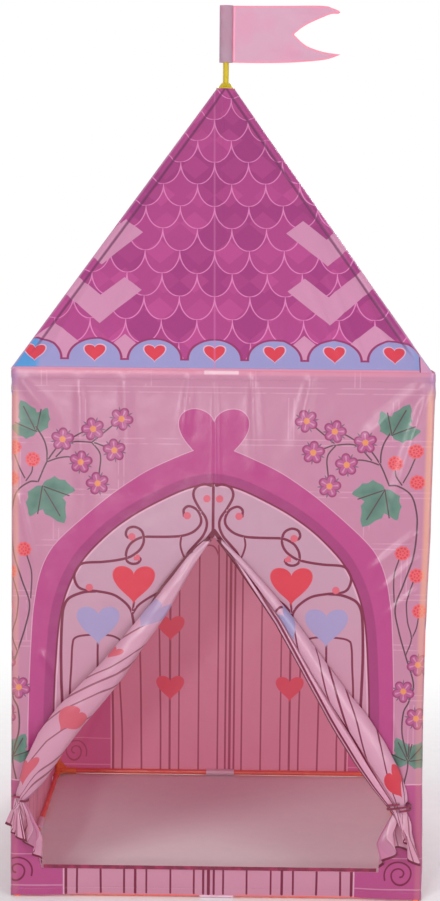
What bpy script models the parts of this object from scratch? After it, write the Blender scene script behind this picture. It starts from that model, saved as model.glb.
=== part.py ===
"""Square play tent: a frame of short tubes in moulded joints, a pointed roof with a flag on top,
four cloth walls and a front door whose two flaps are gathered and tied back to the sides.

Metres, +Z up. The origin is on the ground, in the middle of the base square. The door faces -Y.
"""

import math

import bmesh
import bpy
from mathutils import Matrix, Vector

# Frame: axes of the tubes
FRAME_HALF = 0.340
BASE_AXIS_HEIGHT = 0.0075
EAVE_AXIS_HEIGHT = 0.902
HUB_AXIS_HEIGHT = 1.397

# Tubes and the sockets they push into
TUBE_RADIUS = 0.005
TUBE_BORE_RADIUS = 0.004
SOCKET_BORE_RADIUS = 0.0053
SOCKET_RADIUS = 0.0062
SOCKET_RIM_RADIUS = 0.0067
SOCKET_RIM_LENGTH = 0.004
MOULD_CHAMFER = 0.0005
CORNER_SOCKET_LENGTH = 0.038
CORNER_STOP = 0.012
HUB_SOCKET_LENGTH = 0.048
HUB_STOP = 0.022
GUSSET_REACH = 0.026
GUSSET_THICKNESS = 0.0024
FIT_GAP = 0.0003

# Straight couplers in the middle of each run
COUPLER_LENGTH = 0.058
COUPLER_RADIUS = 0.0065
STOP_RING_HALF = 0.0008
STOP_RING_DEPTH = 0.0009

# Hub on the roof: flared skirt and flag stem
SKIRT_COVER = 0.0014
SKIRT_RIM = 0.0012
SKIRT_RISE = 0.0125
HUB_CORE_RADIUS = 0.0108
HUB_CORE_DEPTH = 0.020
STEM_RADIUS = 0.0054
STEM_HEIGHT = 0.134
STEM_CHAMFER = 0.0012

# Cloth of the walls and the roof
CLOTH_OFFSET = 0.0071
CLOTH_THICKNESS = 0.0009
SEAM_GAP = 0.0003
HEM_HEIGHT = 0.012
CROWN_DROP = 0.0105
ROOF_SAG = 0.006

# Door opening in the front wall
SLIT_TOP_HEIGHT = 0.617
SILL_HEIGHT = 0.058
BINDING_WIDTH = 0.006
BINDING_THICKNESS = 0.0013

# Door flaps, gathered and tied back
LEFT_TIE_INSET = 0.011
LEFT_TIE_HEIGHT = 0.174
LEFT_CUT_INSET = 0.042
RIGHT_TIE_INSET = 0.035
RIGHT_TIE_HEIGHT = 0.168
RIGHT_CUT_INSET = 0.065
FLAP_DEPTH = 0.0125
FLAP_CLOTH_DEPTH = 0.0022
FLAP_STANDOFF = 0.0005

# Cords that tie the flaps
CORD_RADIUS = 0.0014
CORD_CLEARANCE = 0.0006
CORD_PITCH = 0.0070
CORD_TAIL_LENGTH = 0.020

# Flag
FLAG_LENGTH = 0.206
FLAG_HEIGHT = 0.102
FLAG_THICKNESS = 0.0012
FLAG_WAVE = 0.004
SLEEVE_HALF_WIDTH = 0.0126
SLEEVE_HALF_DEPTH = 0.0074
SLEEVE_WALL = 0.0011
SLEEVE_CAP = 0.0012

# Modelling sizes
OVERRUN = 0.004
MERGE_DISTANCE = 0.000002

# Counts and angles
SECTORS = 4
TUBE_SIDES = 10
FLARE_STEPS = 5
PANEL_STEPS = 6
FLAP_COLUMNS = 22
FLAP_FOLDS = 3.5
SLEEVE_STEPS = 16
FLAG_COLUMNS = 12
CORNER_ARC_STEPS = 3
HALF_FACET = math.pi / TUBE_SIDES
SMOOTH_ANGLE = math.radians(40)

# Outline of the flag: share of its length, share of its height
FLAG_OUTLINE_SHARES = (
    (0.04, 0.985),
    (0.815, 1.0),
    (0.98, 0.89),
    (0.74, 0.735),
    (0.57, 0.50),
    (0.675, 0.325),
    (0.815, 0.22),
    (1.0, 0.165),
    (0.815, 0.055),
    (0.57, 0.02),
    (0.04, 0.0),
)

# Gathered flaps, from the slit's top past the tie to the hem. Each row has the inner edge
# (along, across), the outer edge (along, across), the space behind the cloth and the depth of
# its folds. Along and across are shares of the distance from the slit's top to the tie,
# space and depth are shares of the flap's depth.
LEFT_FLAP_SHARES = (
    (0.000, 0.004, 0.000, 0.019, 0.00, 0.06),
    (0.100, 0.006, 0.100, 0.031, 0.00, 0.16),
    (0.200, 0.004, 0.200, 0.043, 0.02, 0.32),
    (0.300, 0.000, 0.300, 0.057, 0.03, 0.50),
    (0.400, -0.008, 0.400, 0.062, 0.04, 0.68),
    (0.500, -0.016, 0.500, 0.065, 0.05, 0.82),
    (0.600, -0.021, 0.600, 0.071, 0.06, 0.92),
    (0.700, -0.026, 0.700, 0.075, 0.06, 0.94),
    (0.800, -0.032, 0.803, 0.071, 0.08, 0.90),
    (0.895, -0.031, 0.915, 0.056, 0.16, 0.78),
    (0.979, -0.018, 1.011, 0.030, 0.30, 0.52),
    (0.994, -0.029, 1.027, 0.018, 0.30, 0.52),
    (1.015, -0.065, 1.058, 0.008, 0.16, 0.72),
    (1.058, -0.115, 1.073, 0.002, 0.08, 0.84),
    (1.110, -0.158, 1.086, -0.005, 0.04, 0.90),
)
RIGHT_FLAP_SHARES = (
    (0.000, 0.004, 0.000, 0.019, 0.00, 0.06),
    (0.100, 0.006, 0.100, 0.033, 0.00, 0.16),
    (0.200, 0.005, 0.200, 0.046, 0.02, 0.32),
    (0.300, 0.001, 0.300, 0.057, 0.03, 0.50),
    (0.400, -0.008, 0.400, 0.060, 0.04, 0.66),
    (0.500, -0.018, 0.500, 0.063, 0.05, 0.80),
    (0.600, -0.023, 0.600, 0.068, 0.06, 0.90),
    (0.700, -0.029, 0.700, 0.077, 0.06, 0.94),
    (0.800, -0.031, 0.803, 0.076, 0.08, 0.90),
    (0.890, -0.029, 0.910, 0.064, 0.16, 0.78),
    (0.977, -0.014, 1.017, 0.037, 0.30, 0.52),
    (1.015, -0.044, 1.052, 0.008, 0.30, 0.52),
    (1.044, -0.077, 1.085, 0.000, 0.16, 0.72),
    (1.084, -0.115, 1.136, -0.023, 0.08, 0.84),
    (1.123, -0.151, 1.182, -0.046, 0.04, 0.90),
)
NECK_ROW = 10
RIGHT_HEM_PEAK_SHARE = 0.040

# Edge of the wall behind a gathered flap, in the same shares of the distance to the tie
DOOR_EDGE_SHARES = (
    (0.12, 0.016),
    (0.50, 0.020),
    (0.90, 0.010),
    (1.00, 0.000),
    (1.05, -0.045),
    (1.085, -0.110),
)

CORNERS = ("front_left", "front_right", "back_right", "back_left")
SIDES = ("front", "right", "back", "left")

# Values worked out from the sizes above
ROOF_ANGLE = math.atan2(HUB_AXIS_HEIGHT - EAVE_AXIS_HEIGHT, FRAME_HALF)
ROOF_SLOPE = math.tan(ROOF_ANGLE)
ROOF_INNER_PEAK = HUB_AXIS_HEIGHT + CLOTH_OFFSET / math.cos(ROOF_ANGLE)
ROOF_OUTER_PEAK = ROOF_INNER_PEAK + CLOTH_THICKNESS / math.cos(ROOF_ANGLE)
WALL_INNER = FRAME_HALF + CLOTH_OFFSET
WALL_OUTER = WALL_INNER + CLOTH_THICKNESS
EAVE_SEAM_HEIGHT = ROOF_INNER_PEAK - WALL_INNER * ROOF_SLOPE
CROWN_HEIGHT = HUB_AXIS_HEIGHT - CROWN_DROP
CROWN_HALF_OPENING = (ROOF_INNER_PEAK - CROWN_HEIGHT) / ROOF_SLOPE
SKIRT_UNDERSIDE = CROWN_HEIGHT + FIT_GAP
SKIRT_RADIUS = CROWN_HALF_OPENING + SKIRT_COVER
HIP_VECTOR = Vector((FRAME_HALF, FRAME_HALF, HUB_AXIS_HEIGHT - EAVE_AXIS_HEIGHT))
HIP_LENGTH = HIP_VECTOR.length
HIP_DIRECTION = HIP_VECTOR.normalized()
STEM_TOP = SKIRT_UNDERSIDE + SKIRT_RISE + STEM_HEIGHT

AXIS_X = Vector((1, 0, 0))
AXIS_Y = Vector((0, 1, 0))
AXIS_Z = Vector((0, 0, 1))


def clear_scene():
    """Remove every object that the file starts with."""
    for item in list(bpy.data.objects):
        bpy.data.objects.remove(item, do_unlink=True)


def paint(name, colour, roughness, metallic=0.0):
    """Plain material with a base colour, roughness and metallic value."""
    material = bpy.data.materials.new(name)
    material.use_nodes = True
    shader = material.node_tree.nodes["Principled BSDF"]
    shader.inputs["Base Color"].default_value = (*colour, 1.0)
    shader.inputs["Roughness"].default_value = roughness
    shader.inputs["Metallic"].default_value = metallic
    material.diffuse_color = (*colour, 1.0)
    return material


def mesh_from(bm, name):
    """Finish a bmesh with outward faces and return it as a mesh."""
    bmesh.ops.recalc_face_normals(bm, faces=bm.faces)
    mesh = bpy.data.meshes.new(name)
    bm.to_mesh(mesh)
    bm.free()
    return mesh


def place(name, mesh, material=None, parent=None, location=(0, 0, 0), rotation=None):
    """Put a mesh into the scene as an object with its own place and rotation."""
    item = bpy.data.objects.new(name, mesh)
    bpy.context.scene.collection.objects.link(item)
    if material is not None and not mesh.materials:
        mesh.materials.append(material)
    item.parent = parent
    item.location = location
    if rotation is not None:
        item.rotation_euler = rotation.to_euler()
    return item


def shade_round(mesh):
    """Smooth shading with sharp edges kept."""
    mesh.shade_smooth()
    mesh.set_sharp_from_angle(angle=SMOOTH_ANGLE)


def revolve(name, outline, closed=False):
    """Turn an outline of (radius, height) points round the Z axis."""
    bm = bmesh.new()
    points = [bm.verts.new((radius, 0, height)) for radius, height in outline]
    edges = [bm.edges.new(pair) for pair in zip(points, points[1:])]
    if closed:
        edges.append(bm.edges.new((points[-1], points[0])))
    bmesh.ops.spin(
        bm,
        geom=points + edges,
        cent=(0, 0, 0),
        axis=(0, 0, 1),
        angle=math.tau,
        steps=TUBE_SIDES,
        use_merge=True,
    )
    bmesh.ops.remove_doubles(bm, verts=bm.verts, dist=MERGE_DISTANCE)
    return mesh_from(bm, name)


def prism(name, corners, thickness_vector):
    """Extrude a flat outline along a vector, centred on the outline's plane."""
    bm = bmesh.new()
    half = thickness_vector / 2
    face = bm.faces.new([bm.verts.new(Vector(corner) - half) for corner in corners])
    grown = bmesh.ops.extrude_face_region(bm, geom=[face])
    moved = [item for item in grown["geom"] if isinstance(item, bmesh.types.BMVert)]
    bmesh.ops.translate(bm, verts=moved, vec=thickness_vector)
    return mesh_from(bm, name)


def turn_to(direction):
    """Rotation that brings +Z onto a direction, with +X kept level."""
    forward = direction.normalized()
    side = forward.cross(AXIS_Z)
    side = AXIS_X if side.length < 0.001 else side.normalized()
    return Matrix((side, forward.cross(side), forward)).transposed()


def apply_boolean(base, others, operation):
    """Join or cut closed solids, then drop the helpers."""
    for other in others:
        modifier = base.modifiers.new(operation.lower(), "BOOLEAN")
        modifier.operation = operation
        modifier.solver = "EXACT"
        modifier.object = other
    bpy.context.view_layer.update()
    graph = bpy.context.evaluated_depsgraph_get()
    result = bpy.data.meshes.new_from_object(base.evaluated_get(graph))
    result.name = base.name
    base.modifiers.clear()
    base.data = result
    for other in others:
        bpy.data.objects.remove(other, do_unlink=True)
    return base


def tidy_mesh(mesh):
    """Merge the short edges that a cut can leave."""
    bm = bmesh.new()
    bm.from_mesh(mesh)
    bmesh.ops.remove_doubles(bm, verts=bm.verts, dist=MERGE_DISTANCE)
    bmesh.ops.dissolve_degenerate(bm, dist=MERGE_DISTANCE, edges=bm.edges)
    bmesh.ops.recalc_face_normals(bm, faces=bm.faces)
    bm.to_mesh(mesh)
    bm.free()


def socket_mesh(length, root):
    """Outside of one socket, widening to full size at its root, with a chamfered rim at its mouth."""
    rim_start = length - SOCKET_RIM_LENGTH
    return revolve(
        "socket",
        (
            (0, 0),
            (SOCKET_RADIUS, root),
            (SOCKET_RADIUS, rim_start),
            (SOCKET_RIM_RADIUS, rim_start + MOULD_CHAMFER),
            (SOCKET_RIM_RADIUS, length - MOULD_CHAMFER),
            (SOCKET_RIM_RADIUS - MOULD_CHAMFER, length),
            (0, length),
        ),
    )


def bore_mesh(start, length):
    """Blind bore that takes a tube's end, run out past the mouth."""
    end = length + OVERRUN
    return revolve(
        "bore",
        ((0, start), (SOCKET_BORE_RADIUS, start), (SOCKET_BORE_RADIUS, end), (0, end)),
    )


def ball_mesh(radius):
    """Rounded core that closes the outer corner between the sockets."""
    steps = TUBE_SIDES // 2
    return revolve(
        "ball",
        [
            (radius * math.sin(math.pi * step / steps), -radius * math.cos(math.pi * step / steps))
            if 0 < step < steps
            else (0, radius * (-1 if step == 0 else 1))
            for step in range(steps + 1)
        ],
    )


def gusset_mesh(first, second):
    """Thin web between two sockets."""
    normal = first.cross(second).normalized()
    return prism(
        "gusset",
        ((0, 0, 0), first * GUSSET_REACH, second * GUSSET_REACH),
        normal * GUSSET_THICKNESS,
    )


def moulded_joint(name, core, directions, webs, length, stop, root=0.0, twist=0.0):
    """One moulded joint: sockets and webs grown from a core, then bored for the tubes.

    Every other socket turns on its own axis by the twist, so that neighbours' facets cross cleanly.
    """
    joint = place(name, core)
    grown = [
        place("socket", socket_mesh(length, root),
              rotation=turn_to(direction) @ Matrix.Rotation(twist * (index % 2), 3, "Z"))
        for index, direction in enumerate(directions)
    ]
    grown += [place("gusset", gusset_mesh(*pair)) for pair in webs]
    apply_boolean(joint, grown, "UNION")
    bores = [
        place("bore", bore_mesh(stop, length), rotation=turn_to(direction))
        for direction in directions
    ]
    apply_boolean(joint, bores, "DIFFERENCE")
    mesh = joint.data
    bpy.data.objects.remove(joint, do_unlink=True)
    tidy_mesh(mesh)
    shade_round(mesh)
    return mesh


def base_joint_mesh():
    """Three-way corner joint that stands on the ground with a flat foot."""
    foot = revolve(
        "base_joint",
        (
            (0, -BASE_AXIS_HEIGHT),
            (SOCKET_RADIUS - MOULD_CHAMFER, -BASE_AXIS_HEIGHT),
            (SOCKET_RADIUS, MOULD_CHAMFER - BASE_AXIS_HEIGHT),
            (SOCKET_RADIUS, SOCKET_RADIUS),
            (0, SOCKET_RADIUS),
        ),
    )
    return moulded_joint(
        "base_joint",
        foot,
        (AXIS_X, AXIS_Y, AXIS_Z),
        ((AXIS_X, AXIS_Z), (AXIS_Y, AXIS_Z), (AXIS_X, AXIS_Y)),
        CORNER_SOCKET_LENGTH,
        CORNER_STOP,
    )


def eave_joint_mesh():
    """Four-way joint at the eave: two level sockets, one down, one up the hip."""
    return moulded_joint(
        "eave_joint",
        ball_mesh(SOCKET_RADIUS),
        (AXIS_X, AXIS_Y, -AXIS_Z, HIP_DIRECTION),
        ((AXIS_X, -AXIS_Z), (AXIS_Y, -AXIS_Z), (AXIS_X, AXIS_Y)),
        CORNER_SOCKET_LENGTH,
        CORNER_STOP,
    )


def hub_mesh():
    """Roof hub: four sockets down the hips, a flared skirt and the stem for the flag."""
    underside = SKIRT_UNDERSIDE - HUB_AXIS_HEIGHT
    rim_top = underside + SKIRT_RIM
    flare_height = SKIRT_RISE - SKIRT_RIM
    flare = [
        (
            STEM_RADIUS + (SKIRT_RADIUS - STEM_RADIUS) * (1 - step / FLARE_STEPS) ** 2,
            rim_top + flare_height * step / FLARE_STEPS,
        )
        for step in range(FLARE_STEPS + 1)
    ]
    top = STEM_TOP - HUB_AXIS_HEIGHT
    outline = [
        (0, -HUB_CORE_DEPTH),
        (HUB_CORE_RADIUS, -HUB_CORE_DEPTH),
        (HUB_CORE_RADIUS, underside),
        (SKIRT_RADIUS, underside),
        *flare,
        (STEM_RADIUS, top - STEM_CHAMFER),
        (STEM_RADIUS - STEM_CHAMFER, top),
        (0, top),
    ]
    hips = [
        Matrix.Rotation(math.tau * sector / SECTORS, 3, "Z") @ -HIP_DIRECTION
        for sector in range(SECTORS)
    ]
    return moulded_joint(
        "roof_hub", revolve("roof_hub", outline), hips, (), HUB_SOCKET_LENGTH, HUB_STOP,
        root=SOCKET_RADIUS, twist=HALF_FACET,
    )


def tube_mesh(length):
    """Plain round tube, standing on its lower end."""
    return revolve(
        "tube",
        (
            (TUBE_BORE_RADIUS, 0),
            (TUBE_RADIUS, 0),
            (TUBE_RADIUS, length),
            (TUBE_BORE_RADIUS, length),
        ),
        closed=True,
    )


def sleeved_tube_mesh(length):
    """Tube with a coupler fixed on its upper end, bored for the next tube as far as a stop."""
    half = COUPLER_LENGTH / 2
    stop = length + STOP_RING_HALF + FIT_GAP
    start = stop - half
    end = stop + half
    return revolve(
        "sleeved_tube",
        (
            (TUBE_BORE_RADIUS, 0),
            (TUBE_RADIUS, 0),
            (TUBE_RADIUS, start),
            (COUPLER_RADIUS - MOULD_CHAMFER, start),
            (COUPLER_RADIUS, start + MOULD_CHAMFER),
            (COUPLER_RADIUS, end - MOULD_CHAMFER),
            (COUPLER_RADIUS - MOULD_CHAMFER, end),
            (SOCKET_BORE_RADIUS, end),
            (SOCKET_BORE_RADIUS, stop + STOP_RING_HALF),
            (TUBE_BORE_RADIUS, stop + STOP_RING_HALF),
        ),
        closed=True,
    )


def coupler_mesh():
    """Straight sleeve with a stop ring in the middle, centred on the origin."""
    half = COUPLER_LENGTH / 2
    ring = SOCKET_BORE_RADIUS - STOP_RING_DEPTH
    return revolve(
        "coupler",
        (
            (SOCKET_BORE_RADIUS, -half),
            (COUPLER_RADIUS - MOULD_CHAMFER, -half),
            (COUPLER_RADIUS, MOULD_CHAMFER - half),
            (COUPLER_RADIUS, half - MOULD_CHAMFER),
            (COUPLER_RADIUS - MOULD_CHAMFER, half),
            (SOCKET_BORE_RADIUS, half),
            (SOCKET_BORE_RADIUS, STOP_RING_HALF),
            (ring, 0),
            (SOCKET_BORE_RADIUS, -STOP_RING_HALF),
        ),
        closed=True,
    )


def run_of_tubes(names, start, direction, length, stops, material, parent, coupler=None):
    """Two equal tubes along a straight run, each from its socket's stop to the middle.

    The first tube carries a fixed coupler, unless the run has a loose one with its own name.
    """
    first = stops[0] + FIT_GAP
    last = length - stops[1] - FIT_GAP
    middle = (first + last) / 2
    inner_gap = STOP_RING_HALF + FIT_GAP
    tube_length = middle - inner_gap - first
    turn = turn_to(direction)
    lower = tube_mesh(tube_length) if coupler else sleeved_tube_mesh(tube_length)
    upper = tube_mesh(tube_length)
    for name, mesh, offset in zip(names, (lower, upper), (first, middle + inner_gap)):
        shade_round(mesh)
        place(name, mesh, material, parent, start + direction * offset, turn)
    if coupler:
        name, paint_used = coupler
        mesh = coupler_mesh()
        shade_round(mesh)
        place(name, mesh, paint_used, parent, start + direction * middle, turn)


def sheet_solid(name, rows):
    """Closed solid between a front grid and a back grid of points, row by row."""
    bm = bmesh.new()
    front = [[bm.verts.new(point) for point in row] for row, _ in rows]
    back = [[bm.verts.new(point) for point in row] for _, row in rows]
    count = len(front[0])
    for upper, lower in zip(range(len(rows)), range(1, len(rows))):
        for left, right in zip(range(count), range(1, count)):
            for grid in (front, back):
                bm.faces.new(
                    (grid[upper][left], grid[upper][right], grid[lower][right], grid[lower][left])
                )
        for side in (0, count - 1):
            bm.faces.new(
                (front[upper][side], front[lower][side], back[lower][side], back[upper][side])
            )
    for row in (0, len(rows) - 1):
        for left, right in zip(range(count), range(1, count)):
            bm.faces.new((front[row][left], front[row][right], back[row][right], back[row][left]))
    return mesh_from(bm, name)


def roof_panel_mesh(name):
    """One slope of the roof, mitred to its neighbours, with a slight sag between the hips."""
    low = EAVE_SEAM_HEIGHT + SEAM_GAP / 2
    rows = []
    for step in range(PANEL_STEPS + 1):
        up = step / PANEL_STEPS
        height = low + (CROWN_HEIGHT - low) * up
        row = []
        for peak in (ROOF_OUTER_PEAK, ROOF_INNER_PEAK):
            reach = (peak - height) / ROOF_SLOPE
            half = reach - SEAM_GAP / 2
            line = []
            for column in range(PANEL_STEPS + 1):
                across = 2 * column / PANEL_STEPS - 1
                sag = ROOF_SAG * (1 - across**2) * math.sin(math.pi * up)
                line.append((half * across, sag * math.sin(ROOF_ANGLE) - reach,
                             height - sag * math.cos(ROOF_ANGLE)))
            row.append(line)
        rows.append(row)
    return sheet_solid(name, rows)


def wall_mesh(name):
    """One flat wall, mitred to its neighbours."""
    high = EAVE_SEAM_HEIGHT - SEAM_GAP / 2
    rows = []
    for height in (high, HEM_HEIGHT):
        row = []
        for reach in (WALL_OUTER, WALL_INNER):
            half = reach - SEAM_GAP / 2
            row.append([(-half, -reach, height), (half, -reach, height)])
        rows.append(row)
    return sheet_solid(name, rows)


class Flap:
    """Directions and sizes of one gathered door flap, measured from the slit's top."""

    def __init__(self, side, tie_inset, tie_height, cut_inset, rows, peak):
        reach = FRAME_HALF - tie_inset
        drop = SLIT_TOP_HEIGHT - tie_height
        self.side = side
        self.length = math.hypot(reach, drop)
        self.along = Vector((side * reach, 0, -drop)) / self.length
        self.across = Vector((side * drop, 0, reach)) / self.length
        self.cut_end = side * (FRAME_HALF - cut_inset)
        self.rows = rows
        self.peak = peak

    def point(self, along_share, across_share):
        """Point in the wall's plane from its two shares of the distance to the tie."""
        return (self.along * along_share + self.across * across_share) * self.length

    def neck(self):
        """Middle, half width, half drop, back and front of the waist that the cord holds."""
        first, second = self.rows[NECK_ROW], self.rows[NECK_ROW + 1]
        spots = [self.point(*row[start:start + 2]) for row in (first, second) for start in (0, 2)]
        middle = sum(spots, Vector()) / len(spots)
        half_width = max(abs(spot.x - middle.x) for spot in spots)
        top = (spots[0].z + spots[1].z) / 2
        low = (spots[2].z + spots[3].z) / 2
        back = FLAP_STANDOFF + first[4] * FLAP_DEPTH
        front = back + first[5] * FLAP_DEPTH + FLAP_CLOTH_DEPTH
        return middle, half_width, (top - low) / 2, back, front


LEFT_FLAP = Flap(-1, LEFT_TIE_INSET, LEFT_TIE_HEIGHT, LEFT_CUT_INSET, LEFT_FLAP_SHARES, 0)
RIGHT_FLAP = Flap(
    1, RIGHT_TIE_INSET, RIGHT_TIE_HEIGHT, RIGHT_CUT_INSET, RIGHT_FLAP_SHARES,
    RIGHT_HEM_PEAK_SHARE,
)


def flap_mesh(name, flap):
    """Gathered cloth as a folded sheet: standing folds fan out from the slit's top."""
    rows = []
    last = len(flap.rows) - 1
    for index, row in enumerate(flap.rows):
        inner_along, inner_across, outer_along, outer_across, space, depth = row
        front, back = [], []
        for column in range(FLAP_COLUMNS + 1):
            share = column / FLAP_COLUMNS
            along = inner_along + (outer_along - inner_along) * share
            across = inner_across + (outer_across - inner_across) * share
            if index == last:
                along -= flap.peak * (1 - abs(2 * share - 1))
            fold = (1 - math.cos(math.tau * FLAP_FOLDS * share)) / 2
            spot = flap.point(along, across)
            rear = FLAP_STANDOFF + FLAP_DEPTH * (space + depth * fold)
            back.append(spot - AXIS_Y * rear)
            front.append(spot - AXIS_Y * (rear + FLAP_CLOTH_DEPTH))
        rows.append((front, back))
    mesh = sheet_solid(name, rows)
    mesh.shade_smooth()
    return mesh


def loop_corner_points(half_width, half_depth, corner):
    """One turn round a rounded rectangle, seen from above, from the front's middle."""
    points = []
    for quarter in range(SECTORS):
        start = math.tau * quarter / SECTORS
        side_x = 1 if quarter in (0, 3) else -1
        side_y = -1 if quarter in (0, 1) else 1
        centre = Vector((side_x * (half_width - corner), side_y * (half_depth - corner), 0))
        for step in range(CORNER_ARC_STEPS + 1):
            angle = start + math.tau / SECTORS * step / CORNER_ARC_STEPS
            points.append(centre + Vector((math.cos(angle), -math.sin(angle), 0)) * corner)
    first = points[: CORNER_ARC_STEPS + 1]
    return points[CORNER_ARC_STEPS + 1:] + first


def tie_mesh(name, flap, turns, tail):
    """Cord wound round the waist of a flap, with its loose end in front."""
    middle, half_width, half_drop, back, front = flap.neck()
    space = CORD_CLEARANCE + CORD_RADIUS
    half_depth = (front - back) / 2 + space
    centre = middle - AXIS_Y * (back + front) / 2
    loop = loop_corner_points(half_width + space, half_depth, space)
    drop = CORD_PITCH / len(loop)
    route = []
    for step in range(turns * len(loop)):
        spot = centre + loop[step % len(loop)]
        route.append(spot - AXIS_Z * (drop * step - CORD_PITCH * turns / 2))
    start = route[0]
    end = route[-1]
    lead = AXIS_X * half_width * -flap.side
    if tail:
        begin = start - AXIS_Y * CORD_RADIUS / 2 + AXIS_Z * CORD_TAIL_LENGTH
        route.insert(0, begin)
    else:
        route.append(end + lead / 2)
    curve = bpy.data.curves.new(name, "CURVE")
    curve.dimensions = "3D"
    curve.bevel_depth = CORD_RADIUS
    curve.bevel_resolution = 1
    curve.use_fill_caps = True
    line = curve.splines.new("POLY")
    line.points.add(len(route) - 1)
    for point, spot in zip(line.points, route):
        point.co = (*spot, 1)
    helper = bpy.data.objects.new("cord_route", curve)
    bpy.context.scene.collection.objects.link(helper)
    bpy.context.view_layer.update()
    graph = bpy.context.evaluated_depsgraph_get()
    mesh = bpy.data.meshes.new_from_object(helper.evaluated_get(graph))
    mesh.name = name
    bpy.data.objects.remove(helper, do_unlink=True)
    bm = bmesh.new()
    bm.from_mesh(mesh)
    bmesh.ops.remove_doubles(bm, verts=bm.verts, dist=MERGE_DISTANCE)
    bmesh.ops.recalc_face_normals(bm, faces=bm.faces)
    bm.to_mesh(mesh)
    bm.free()
    mesh.shade_smooth()
    return mesh


def door_outline():
    """Corners of the opening in the front wall, round from the slit's top."""
    top = Vector((0, -WALL_OUTER, SLIT_TOP_HEIGHT))
    sill = SILL_HEIGHT - BINDING_WIDTH - SEAM_GAP
    sides = []
    for flap in (LEFT_FLAP, RIGHT_FLAP):
        edge = [top + flap.point(*shares) for shares in DOOR_EDGE_SHARES]
        edge.append(Vector((flap.cut_end, -WALL_OUTER, sill)))
        sides.append(edge)
    left, right = sides
    return [top, *left, *reversed(right)]


def front_wall(name, material):
    """Front wall with the door opening cut through it."""
    wall = place(name, wall_mesh(name), material)
    hole = place("door_cutter", prism("door_cutter", door_outline(), AXIS_Y * OVERRUN * 2))
    apply_boolean(wall, [hole], "DIFFERENCE")
    tidy_mesh(wall.data)


def sill_binding(name, material):
    """Binding tape along the cut edge of the sill, lying in the wall's plane."""
    inset = FIT_GAP + BINDING_WIDTH / 2
    left = LEFT_FLAP.cut_end + inset
    right = RIGHT_FLAP.cut_end - inset
    low = SILL_HEIGHT - BINDING_WIDTH
    middle = -(WALL_INNER + WALL_OUTER) / 2
    corners = [
        (left, middle, low),
        (right, middle, low),
        (right, middle, SILL_HEIGHT),
        (left, middle, SILL_HEIGHT),
    ]
    place(name, prism(name, corners, AXIS_Y * BINDING_THICKNESS), material)


def flag(name, material):
    """Swallow-tailed flag on a flat sleeve that drops over the stem and turns on it."""
    low = STEM_TOP + FIT_GAP + SLEEVE_CAP - FLAG_HEIGHT
    inner_width = SLEEVE_HALF_WIDTH - SLEEVE_WALL
    inner_depth = SLEEVE_HALF_DEPTH - SLEEVE_WALL

    def oval(half_width, half_depth, height):
        return [
            (
                half_width * math.cos(math.tau * step / SLEEVE_STEPS),
                half_depth * math.sin(math.tau * step / SLEEVE_STEPS),
                height,
            )
            for step in range(SLEEVE_STEPS)
        ]

    height_axis = AXIS_Z * FLAG_HEIGHT
    body = place(name, prism(name, oval(SLEEVE_HALF_WIDTH, SLEEVE_HALF_DEPTH, FLAG_HEIGHT / 2),
                             height_axis), material, location=(0, 0, low))
    outline = [
        (along * FLAG_LENGTH, 0, up * FLAG_HEIGHT) for along, up in FLAG_OUTLINE_SHARES
    ]
    wave_depth = 2 * FLAG_WAVE + OVERRUN
    shape = place("flag_shape", prism("flag_shape", outline, AXIS_Y * wave_depth),
                  location=(0, 0, low))
    rows = []
    for height in (FLAG_HEIGHT + OVERRUN, -OVERRUN):
        front, back = [], []
        for column in range(FLAG_COLUMNS + 1):
            share = column / FLAG_COLUMNS
            wave = FLAG_WAVE * share * math.sin(math.tau * share)
            along = (FLAG_LENGTH + OVERRUN) * share
            front.append((along, wave - FLAG_THICKNESS / 2, height))
            back.append((along, wave + FLAG_THICKNESS / 2, height))
        rows.append((front, back))
    cloth = place("flag_cloth", sheet_solid("flag_cloth", rows), location=(0, 0, low))
    apply_boolean(cloth, [shape], "INTERSECT")
    apply_boolean(body, [cloth], "UNION")
    hollow = place(
        "sleeve_hollow",
        prism("sleeve_hollow", oval(inner_width, inner_depth, 0), height_axis * 2),
        location=(0, 0, low - SLEEVE_CAP),
    )
    apply_boolean(body, [hollow], "DIFFERENCE")
    tidy_mesh(body.data)
    shade_round(body.data)


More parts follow.
